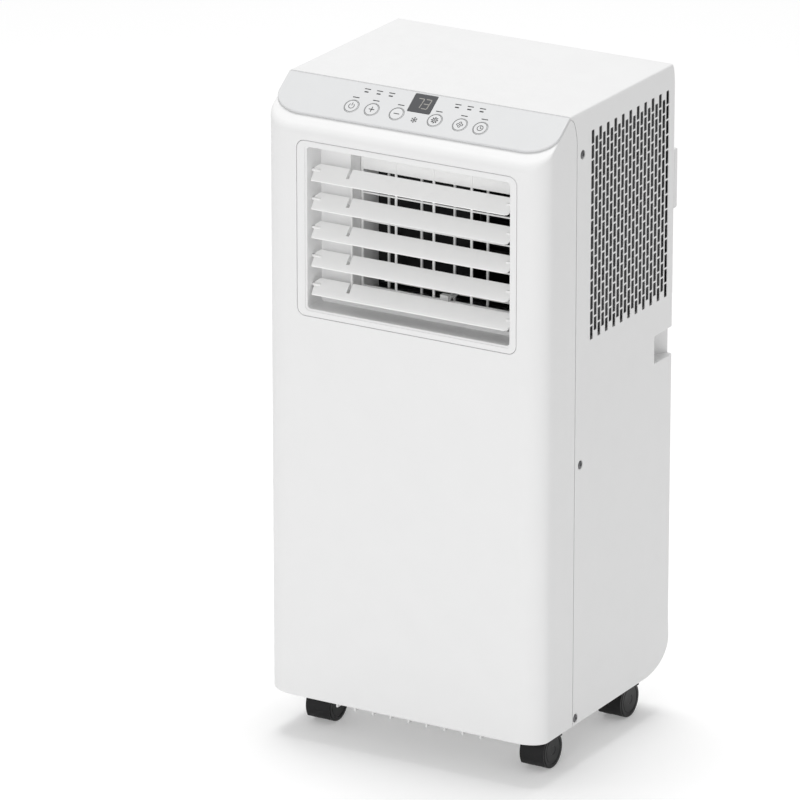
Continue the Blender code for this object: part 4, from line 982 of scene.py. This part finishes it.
def blade_section():
    """The blade across: a gently bowed strip with a round front edge and a thin back edge."""
    steps, bow = 12, 0.0002
    upper, lower = [], []
    for i in range(steps + 1):
        part = i / steps
        along = LOUVRE_CHORD * (part - 0.6)
        rise = bow * (1 - (2 * part - 1) ** 2) - bow * 0.6
        half = 0.0008 * (1 - 0.45 * part)
        upper.append((along, rise + half))
        lower.append((along, rise - half))
    nose = arc((lower[0][0], -bow * 0.6), (0.0008, 0.0008), 270, 90, 6)[1:-1]
    tail = arc((upper[-1][0], -bow * 0.6), (0.00044, 0.00044), 90, -90, 4)[1:-1]
    return lower + tail[::-1] + upper[::-1] + nose[::-1]


def make_louvre(index):
    """One blade with an end pin each side, a notch for the link bar and a crank beside it."""
    name = f"louvre_{index}"
    at = pivot(f"{name}_tilt")
    place = Matrix.Translation((0, at.y, at.z)) @ Matrix.Rotation(pi / 2 - LOUVRE_TILT, 4, "X")
    foot, head = -0.6 * LOUVRE_CHORD - 0.001, 0.4 * LOUVRE_CHORD + 0.001
    blade = slab(name + "_fine", [blade_section()], LOUVRE_LEFT - 0.0012, LOUVRE_RIGHT, place @ ALONG_X)
    corner = 0.0042
    outline = [(LOUVRE_LEFT, foot), (LOUVRE_RIGHT - corner, foot)]
    outline += arc((LOUVRE_RIGHT - corner, foot + 0.0008 + corner), (corner, corner), 270, 360, 8)
    outline += [(LOUVRE_RIGHT, head), (LOUVRE_LEFT + 0.003, head), (LOUVRE_LEFT + 0.003, head - 0.001)]
    outline += [(LOUVRE_LEFT - 0.0012, head - 0.005)]
    keep_inside(blade, slab("blade_plan", [outline], -0.005, 0.005, place))
    notch_low, notch_high = (LINK_X - 0.0017, -0.0035, -0.01), (LINK_X + 0.0017, 0.012, 0.01)
    cut(blade, block("notch", notch_low, notch_high, 0.0004, place))
    hook = place @ Vector((LINK_X, 0, -LINK_CRANK))
    arm = rounded(-0.0022, 0.0022, -LINK_CRANK - 0.0022, 0.0003, 0.0018, 5)
    pieces = [
        blade,
        cross_rod("pin_left", MOUTH_LEFT - 0.0010, LOUVRE_LEFT + 0.006, at, 0.0015, 24, 0.0003),
        cross_rod("pin_right", LOUVRE_RIGHT - 0.006, MOUTH_RIGHT + 0.0010, at, 0.0015, 24, 0.0003),
        slab("crank", [arm], LINK_X - 0.0046, LINK_X - 0.0030, place @ ALONG_X, 0.0002),
        cross_rod("crank_pin", LINK_X - 0.0040, LINK_X + 0.0020, hook, 0.0010, 20, 0.0002),
    ]
    dress(merged(name + "_blade", pieces), "louvre_white_painted_light", name, body=name)


def make_louvre_link():
    """The bar that turns the louvres together, with a round eye on each of their crank pins."""
    foot, head = low("louvre_link"), high("louvre_link")
    start, end, y = foot.x, head.x, middle("louvre_link").y
    bar = rounded(foot.y + 0.0004, head.y - 0.0004, foot.z, head.z, 0.0014, 5)
    link = slab("louvre_link_bar", [bar], start, end, ALONG_X, 0.0002)
    drop = pivot("louvre_1_tilt").z - (head.z - 0.0035)  # from a louvre's axis down to its crank pin
    for index in range(1, 6):
        eye = Vector((0, y, pivot(f"louvre_{index}_tilt").z - drop))
        add(link, cross_rod("eye", start, end, eye, 0.0024, 32, 0.0002))
        cut(link, cross_rod("eye_bore", start - 0.01, end + 0.01, eye, 0.0014))
    dress(link, "inner_white", "louvre_link", body="louvre_link")


def make_vanes():
    """Upright vanes behind the guard: thin rounded plates on pins, each with a crank pin."""
    crank, thin = 0.0090, 0.0007
    shelf = middle("vane_link").z + 0.0030
    for index in range(1, 6):
        name = f"vane_{index}"
        at, foot, head = pivot(f"{name}_swing"), low(name), high(name)
        swung = Matrix.Translation((at.x, at.y, 0)) @ Matrix.Rotation(VANE_SWING, 4, "Z")
        plate = rounded(-0.0120, 0.0110, shelf, head.z - 0.0007, 0.004, 6)
        heel = rounded(-0.0045, 0.0105, foot.z + 0.0007, shelf + 0.006, 0.003, 6)
        hook = swung @ Vector((0, -crank, 0))
        pieces = [
            slab("plate", [plate], -thin, thin, swung @ ALONG_X, 0.0004),
            slab("heel", [heel], -thin * 0.98, thin * 0.98, swung @ ALONG_X, 0.0004),
            rod("pin", (at.x, at.y, foot.z), (at.x, at.y, head.z), 0.0014, 24, 0.0003),
            rod("crank_pin", (hook.x, hook.y, foot.z + 0.0165), (hook.x, hook.y, shelf + 0.002), 0.0010, 20),
        ]
        dress(merged(name + "_fine", pieces), "inner_white", name, body=name)


# ---------------------------------------------------------------- base and casters
def make_caster(name):
    """A hood over two wheels on a swivel stem, with tread grooves and hub caps on the wheels."""
    swivel, roll = pivot(f"caster_{name}_swivel"), pivot(f"caster_wheels_{name}_roll")
    x, axle_y, axle_z = swivel.x, roll.y, roll.z
    wheel, half, web = 0.018, high(f"caster_{name}").x - x, 0.0040
    room, skin = wheel + 0.0006, 0.0022
    outer = room + skin
    outline = arc((axle_y, axle_z), (outer, outer), 0, 180, 48)
    outline += [(axle_y - outer, axle_z - 0.003), (axle_y + outer, axle_z - 0.003)]
    fork = slab("caster_fork", [outline], x - web, x + web, ALONG_X)
    shell = arc((axle_y, axle_z), (outer, outer), 30, 214, 48)
    shell += arc((axle_y, axle_z), (room, room), 214, 30, 48)
    hood = slab("caster_hood", [shell], x - half, x + half, ALONG_X, 0.0006)
    add(fork, hood)
    add(
        fork,
        rod("swivel", (x, swivel.y, 0.0300), (x, swivel.y, 0.0476), 0.0085, 40, 0.0006),
        rod("stem", (x, swivel.y, 0.0460), (x, swivel.y, 0.0590), 0.0041, 32, 0.0006),
    )
    for side in (-1, 1):
        near, far = x + side * (web - GAP), x + side * (half + 0.004)
        cut(fork, cross_rod("wheel_room", near, far, roll, room, 96))
    cut(fork, cross_rod("axle_bore", x - 0.02, x + 0.02, roll, 0.0036))
    dress(fork, "caster_black", f"caster_{name}", body=f"caster_{name}")
    side_profile = [(0, half - 0.0007), (0.0042, half - 0.0007), (0.0046, half - 0.0004)]
    side_profile += [(0.0126, half - 0.0003), (0.0130, half - 0.0007), (0.0136, half - 0.0007)]
    side_profile += [(0.0140, half - 0.0002)]
    side_profile += arc((wheel - 0.0016, half - 0.0016), (0.0016, 0.0016), 90, 0, 5)
    side_profile += [(wheel, half - 0.0040), (wheel - 0.0005, half - 0.0043), (wheel, half - 0.0046)]
    side_profile += [(wheel, web + GAP + 0.0008), (wheel - 0.0008, web + GAP), (0.0030, web + GAP)]
    profile = side_profile + [(radius, -height) for radius, height in reversed(side_profile)]
    body = f"caster_wheels_{name}"
    wheels = turned(body + "_fine", profile, Matrix.Translation((x, axle_y, axle_z)) @ ALONG_X, 96)
    dress(wheels, "caster_black", body, body=body)


# ---------------------------------------------------------------- air path and cooling
def make_coil(node, name, thin):
    """A finned coil: close upright plates between two end plates, with the tubes that cross them."""
    foot, head = low(node), high(node)
    plate, proud = 0.0012, 0.0015  # the end plates' thickness, and how far they stand past the fins
    core_low, core_high = Vector(foot), Vector(head)
    core_low[thin] += proud
    core_high[thin] -= proud
    wide = 1 - thin
    fins = []
    pitch, leaf = 0.0021, 0.00035
    count = int((core_high[wide] - core_low[wide]) / pitch)
    for i in range(count + 1):
        start, end = Vector(core_low), Vector(core_high)
        start[wide] = core_low[wide] + i * pitch
        end[wide] = start[wide] + leaf
        start.z, end.z = foot.z + plate, head.z - plate
        fins.append(block("fin", start, end))
    for z in (foot.z, head.z - plate):
        start, end = Vector(foot), Vector(head)
        start.z, end.z = z, z + plate
        fins.append(block("end_plate", start, end, 0.0003))
    dress(merged(name, fins), "fin_aluminium", node)
    tubes = []
    rows = 10
    step = (head.z - foot.z - 2 * plate) / rows
    centre = (core_low[thin] + core_high[thin]) / 2
    for row in range(rows):
        z = foot.z + plate + step * (row + 0.5)
        start, end = Vector((centre, centre, z)), Vector((centre, centre, z))
        start[wide], end[wide] = core_low[wide] + 0.0002, core_high[wide] - 0.0004
        tubes.append(rod("tube", start, end, 0.0036, 20))
    dress(merged(name + "_tubes", tubes), "copper")


def make_blower_wheel(node):
    """A squirrel-cage wheel: hub, back plate, curved blades and two rings."""
    foot, head = low(node), high(node)
    half, radius = (head.x - foot.x) / 2, (head.z - foot.z) / 2
    place = Matrix.Translation(middle(node)) @ ALONG_X
    inner, blades = radius - 0.0105, 40
    pieces = [
        turned("back_plate", [(0.0030, -half + 0.0020), (radius - 0.0006, -half + 0.0020),
                              (radius, -half + 0.0012), (radius - 0.0004, -half), (0.0030, -half)],
               place, 96, closed=True),
        turned("hub", [(0.0030, -half + 0.014), (0.0082, -half + 0.014), (0.0090, -half + 0.0130),
                       (0.0100, -half + 0.0015), (0.0030, -half + 0.0015)], place, 64, closed=True),
    ]
    for level in (half - 0.0035, 0.0):
        rim = rectangle(radius - 0.0022, radius, level, level + 0.0030)
        pieces.append(turned("rim", rim, place, 96, closed=True))
    bow = arc((0, 0), (0.0090, 0.0090), -52, 52, 8)
    bow_in = arc((0, 0), (0.0083, 0.0083), 52, -52, 8)
    shift = Matrix.Translation(((inner + radius) / 2 - 0.0012, -0.0079, 0))
    shift = shift @ Matrix.Rotation(radians(78), 4, "Z")
    for index in range(blades):
        turn = Matrix.Rotation(2 * pi * index / blades, 4, "Z")
        pieces.append(slab("blade", [bow + bow_in], 0.0015 - half, half - 0.0012, place @ turn @ shift))
    dress(merged(node + "_fine", pieces), "black_plastic", node, body=node)


def make_motor(node, length):
    """A round motor: a can of this length with rolled edges and a groove, its bolts and its shaft."""
    foot, head, at = low(node), high(node), middle(node)
    radius = (head.z - foot.z) / 2
    start, end = foot.x, foot.x + length
    place = Matrix.Translation((start, at.y, at.z)) @ ALONG_X
    edge = 0.004
    profile = [(0, 0)] + arc((radius - edge, edge), (edge, edge), -90, 0, 6)
    profile += [(radius, length / 2 - 0.002), (radius - 0.0008, length / 2 - 0.001)]
    profile += [(radius - 0.0008, length / 2 + 0.001), (radius, length / 2 + 0.002)]
    profile += arc((radius - edge, length - edge), (edge, edge), 0, 90, 6) + [(0, length)]
    pieces = [turned("can", profile, place, 96)]
    pieces.append(cross_rod("shaft", end - 0.002, head.x, at, 0.0025, 32, 0.0003))
    for index in range(4):
        turn = radians(45 + 90 * index)
        bolt = at + Vector((0, cos(turn), sin(turn))) * (radius - 0.008)
        pieces.append(cross_rod("bolt", start + 0.0004, start + 0.004, bolt, 0.0022, 24, 0.0004))
    dress(merged(node + "_fine", pieces), "galvanised_steel", node)


COMPRESSOR = Vector((0.070, depth(0.068), low("compressor").z))
BOTTLE = (0.004, depth(0.078))  # the accumulator's place beside it


def make_compressor():
    """The rotary compressor with its rolled seams, feet, accumulator and rubber mounts."""
    radius, floor = 0.048, COMPRESSOR.z
    tall = high("compressor").z - floor
    can = [(0, tall), (0.018, tall - 0.0004), (0.030, tall - 0.0035), (0.039, tall - 0.0095)]
    can += [(0.0445, tall - 0.0165), (radius - 0.0010, tall - 0.0235)]
    can += [(radius - 0.0010, tall - 0.030), (radius, tall - 0.031), (radius, tall - 0.036)]
    can += [(radius - 0.0012, tall - 0.037), (radius - 0.0012, 0.036), (radius, 0.035), (radius, 0.027)]
    can += [(0.040, 0.014), (0.028, 0.0070), (0, 0.0062)]
    pieces = [turned("can", can, Matrix.Translation(COMPRESSOR), 96)]
    mounts = []
    for index in range(3):
        place = Matrix.Translation(COMPRESSOR) @ Matrix.Rotation(radians(30 + 120 * index), 4, "Z")
        pieces.append(block("foot", (0.010, -0.0098, 0.0060), (0.0538, 0.0098, 0.0090), 0.0012, place))
        ends = place @ Vector((0.047, 0, 0)), place @ Vector((0.047, 0, 0.0120))
        mounts.append(rod("mount", *ends, 0.0060, 32, 0.0010))
    x, y = BOTTLE
    bottle = [(0, 0.110), (0.006, 0.1095), (0.011, 0.105), (0.015, 0.098), (0.015, 0.012)]
    bottle += [(0.011, 0.005), (0, 0.0005)]
    pieces.append(turned("accumulator", bottle, Matrix.Translation((x, y, floor + 0.045)), 64))
    strap = (x, y - 0.004, floor + 0.090), (x + 0.036, y + 0.004, floor + 0.102)
    pieces.append(block("strap", *strap, 0.0008))
    dress(merged("compressor_fine", pieces), "black_paint", "compressor")
    dress(merged("compressor_mounts", mounts), "rubber")


def bend(points, radius):
    """A polyline whose inner corners are rounded."""
    route, steps = [Vector(points[0])], 8
    for before, here, after in zip(points, points[1:], points[2:]):
        here = Vector(here)
        start = here + (Vector(before) - here).normalized() * radius
        end = here + (Vector(after) - here).normalized() * radius
        for i in range(steps + 1):
            t = i / steps
            route.append(start * (1 - t) ** 2 + here * 2 * t * (1 - t) + end * t * t)
    return route + [Vector(points[-1])]


def make_pipes():
    """The suction line down from the cold coil, and the discharge line to the hot coil."""
    x, y = BOTTLE
    riser, level = (0.1220, depth(0.050)), 0.3950
    route = [(x, y, low("suction_pipe").z), (x, y, level), (*riser, level), (*riser, 0.4600)]
    route.append((riser[0] + 0.005, depth(0.0905), 0.4600))
    dress(pipe("suction_pipe_fine", bend(route, 0.014), 0.0048, 5), "copper", "suction_pipe")
    x, y, _ = COMPRESSOR
    level, far_x = 0.3400, x + 0.020
    route = [(x, y, low("discharge_pipe").z), (x, y, level), (far_x, 0.0100, level)]
    route.append((far_x, REAR - 0.0350, level))
    dress(pipe("discharge_pipe_fine", bend(route, 0.014), 0.0040, 5), "copper", "discharge_pipe")


def make_exhaust_collar():
    """The ring that the exhaust hose slides into: a rolled flange, a collar and four lugs."""
    foot, head = low("exhaust_collar"), high("exhaust_collar")
    flange = (head.x - foot.x) / 2
    inner, outer = flange - 0.010, flange - 0.004
    front, back = foot.y, head.y
    profile = [(inner + 0.0006, back), (inner + 0.0019, back), (inner + 0.0025, back - 0.0006)]
    profile += [(inner + 0.0025, REAR + 0.0026), (inner + 0.0031, REAR + 0.0020)]
    profile += [(flange - 0.0006, REAR + 0.0020), (flange, REAR + 0.0014), (flange, REAR + GAP)]
    profile += [(outer, REAR + GAP), (outer, front), (inner, front), (inner, back - 0.0006)]
    place = Matrix.Translation((EXHAUST.x, 0, EXHAUST.z)) @ ALONG_Y
    pieces = [turned("collar", profile, place, 128, closed=True)]
    for index in range(4):
        turn = place @ Matrix.Rotation(radians(45 + 90 * index), 4, "Z")
        start, end = (inner + 0.0020, -0.004, REAR + 0.0015), (inner + 0.0048, 0.004, REAR + 0.0058)
        pieces.append(block("lug", start, end, 0.0006, turn))
    dress(merged("exhaust_collar_fine", pieces), "casing_white", "exhaust_collar")


def make_gland_and_plug():
    """The cord's strain relief with its rings, and the ribbed plug of the drain."""
    place = Matrix.Translation((GLAND.x, REAR, GLAND.z)) @ ALONG_Y
    profile = [(0.0040, 0.0060), (0.0056, 0.0060), (0.0062, 0.0054)]
    profile += [(0.0068, 0.0044), (0.0064, 0.0041), (0.0080, 0.0032), (0.0076, 0.0029), (0.0094, 0.0020)]
    profile += [(0.0100, 0.0014), (0.0100, GAP), (0.0070, GAP), (0.0070, -0.0060), (0.0040, -0.0060)]
    dress(turned("cord_gland_fine", profile, place, 64, closed=True), "black_plastic", "cord_gland")
    place = Matrix.Translation((DRAIN.x, REAR, DRAIN.z)) @ ALONG_Y
    profile = [(0, 0.0052), (0.0058, 0.0050), (0.0066, 0.0060), (0.0086, 0.0056), (0.0100, 0.0036)]
    profile += [(0.0105, 0.0020), (0.0105, GAP), (0.0080, GAP), (0.0080, -0.0100), (0, -0.0100)]
    dress(turned("drain_plug_fine", profile, place, 64), "rubber", "drain_plug")


def make_side_filter():
    """The washable filter: a frame with cross bars, a fine net, and a white cap with its grip."""
    foot, head = low("side_filter"), high("side_filter")
    x_low, x_high = 0.1450, 0.1480
    z_low, z_high = foot.z + 0.0032, head.z - 0.0032
    front, back = foot.y, REAR + 0.0015
    rim, rows, columns, tie = 0.004, 4, 3, 0.0016
    net_low, net_high = (front + rim, z_low + rim), (back - 0.012, z_high - rim)
    outlines = [rectangle(front, back, z_low, z_high)]
    deep = (net_high[0] - net_low[0] + tie) / columns
    tall = (net_high[1] - net_low[1] + tie) / rows
    for row in range(rows):
        for column in range(columns):
            y, z = net_low[0] + column * deep, net_low[1] + row * tall
            outlines.append(rounded(y, y + deep - tie, z, z + tall - tie, 0.002, 3))
    net = [slab("filter_frame", outlines, x_low, x_high, ALONG_X, 0.0003)]
    x, half, pitch = (x_low + x_high) / 2, 0.00036, 0.0018
    for i in range(int((net_high[0] - net_low[0]) / pitch)):
        y = net_low[0] + (i + 0.5) * pitch
        net.append(block("thread", (x - half, y - half, net_low[1]), (x + half, y + half, net_high[1])))
    thin = half * 0.9
    for i in range(int((net_high[1] - net_low[1]) / pitch)):
        z = net_low[1] + (i + 0.5) * pitch
        net.append(block("thread", (x - thin, net_low[0], z - half), (x + thin, net_high[0], z + half)))
    dress(merged("side_filter_fine", net), "filter_mesh", "side_filter", body="side_filter")
    cap = block("filter_cap", (0.1380, REAR + GAP, foot.z), (0.1500, REAR + 0.0026, head.z), 0.0008)
    grip = block("grip", (0.1440, REAR + 0.0018, 0.5120), (0.1500, head.y, 0.5720), 0.0016)
    ribs = [block("rib", (0.1436, REAR + 0.0045, z), (0.1442, head.y - 0.0015, z + 0.0012), 0.0002)
            for z in (0.520 + 0.004 * i for i in range(11))]
    dress(merged("side_filter_cap", [cap, grip, *ribs]), "casing_white", body="side_filter")


def make_plain_parts():
    """The inner parts that keep their plain shape, with softened edges."""
    plain_parts = {
        "evaporator_scroll": ("air_path", 0.0005),
        "condenser_scroll": ("air_path", 0.0005),
        "mid_deck": ("inner_white", 0.0004),
        "electric_box": ("galvanised_steel", 0.0008),
        "run_capacitor": ("galvanised_steel", 0.0008),
        "louvre_motor": ("galvanised_steel", 0.0004),
    }
    for node, (finish, edge) in plain_parts.items():
        refined(node, finish, edge=edge)


# ---------------------------------------------------------------- studio
def make_studio():
    scene = bpy.context.scene
    scene.view_settings.view_transform = "Standard"
    scene.view_settings.look = "None"
    world = bpy.data.worlds.new("studio_sky")
    scene.world = world
    world.use_nodes = True
    sky = world.node_tree.nodes["Background"]
    set_values(sky, {"Color": (1.0, 1.0, 1.0, 1), "Strength": 0.53})
    floor = block("studio_floor", (-14, -14, -0.02), (14, 14, 0))
    paper = bpy.data.materials.new("studio_paper")
    paper.use_nodes = True
    shader = paper.node_tree.nodes["Principled BSDF"]
    set_values(shader, {"Base Color": (0.82, 0.82, 0.82, 1), "Roughness": 0.9, "Specular IOR Level": 0.1})
    set_values(shader, {"Emission Color": (1, 1, 1, 1), "Emission Strength": 0.22})
    floor.data.materials.append(paper)
    lamps = {"key_light": (2.4, 156, (-0.35, 0.6, 5.5)), "fill_light": (1.6, 58, (0.6, -4.8, 1.6))}
    for name, (size, energy, place) in lamps.items():
        lamp = bpy.data.lights.new(name, "AREA")
        lamp.size = size
        lamp.energy = energy
        light = bpy.data.objects.new(name, lamp)
        light.location = place
        aim = Vector((0, 0, 0.3)) - light.location
        light.rotation_euler = aim.to_track_quat("-Z", "Y").to_euler()
        scene.collection.objects.link(light)


def make_camera():
    lens = bpy.data.cameras.new("camera")
    lens.lens = 327.97
    lens.sensor_width = 36
    lens.clip_end = 60
    camera = bpy.data.objects.new("camera", lens)
    camera.location = (3.3049, -5.7398, 2.6567)
    camera.rotation_euler = (radians(70.638), radians(0.007), radians(30.529))
    bpy.context.scene.collection.objects.link(camera)
    bpy.context.scene.camera = camera


# ---------------------------------------------------------------- assembly
for finish_name in FINISH_TABLE:
    make_finish(finish_name)
make_front_shell()
make_rear_casing()
make_casing_screws()
make_rear_grille()
make_control_panel()
make_keys()
make_panel_print()
make_display()
make_control_board()
make_vent_housing()
make_outlet_guard()
for louvre_index in range(1, 6):
    make_louvre(louvre_index)
make_louvre_link()
make_vanes()
refined("vane_link", "inner_white", "vane_link", 0.0004, 3)
for caster in ("front_left", "front_right", "rear_left", "rear_right"):
    make_caster(caster)
refined("base_pan", "inner_white", edge=0.0004)
make_coil("evaporator_coil", "evaporator_coil_fine", 0)
make_coil("condenser_coil", "condenser_coil_fine", 1)
make_blower_wheel("evaporator_wheel")
make_blower_wheel("condenser_wheel")
make_motor("evaporator_motor", 0.060)
make_motor("condenser_motor", 0.056)
make_compressor()
make_pipes()
make_exhaust_collar()
make_gland_and_plug()
make_side_filter()
make_plain_parts()
make_studio()
make_camera()
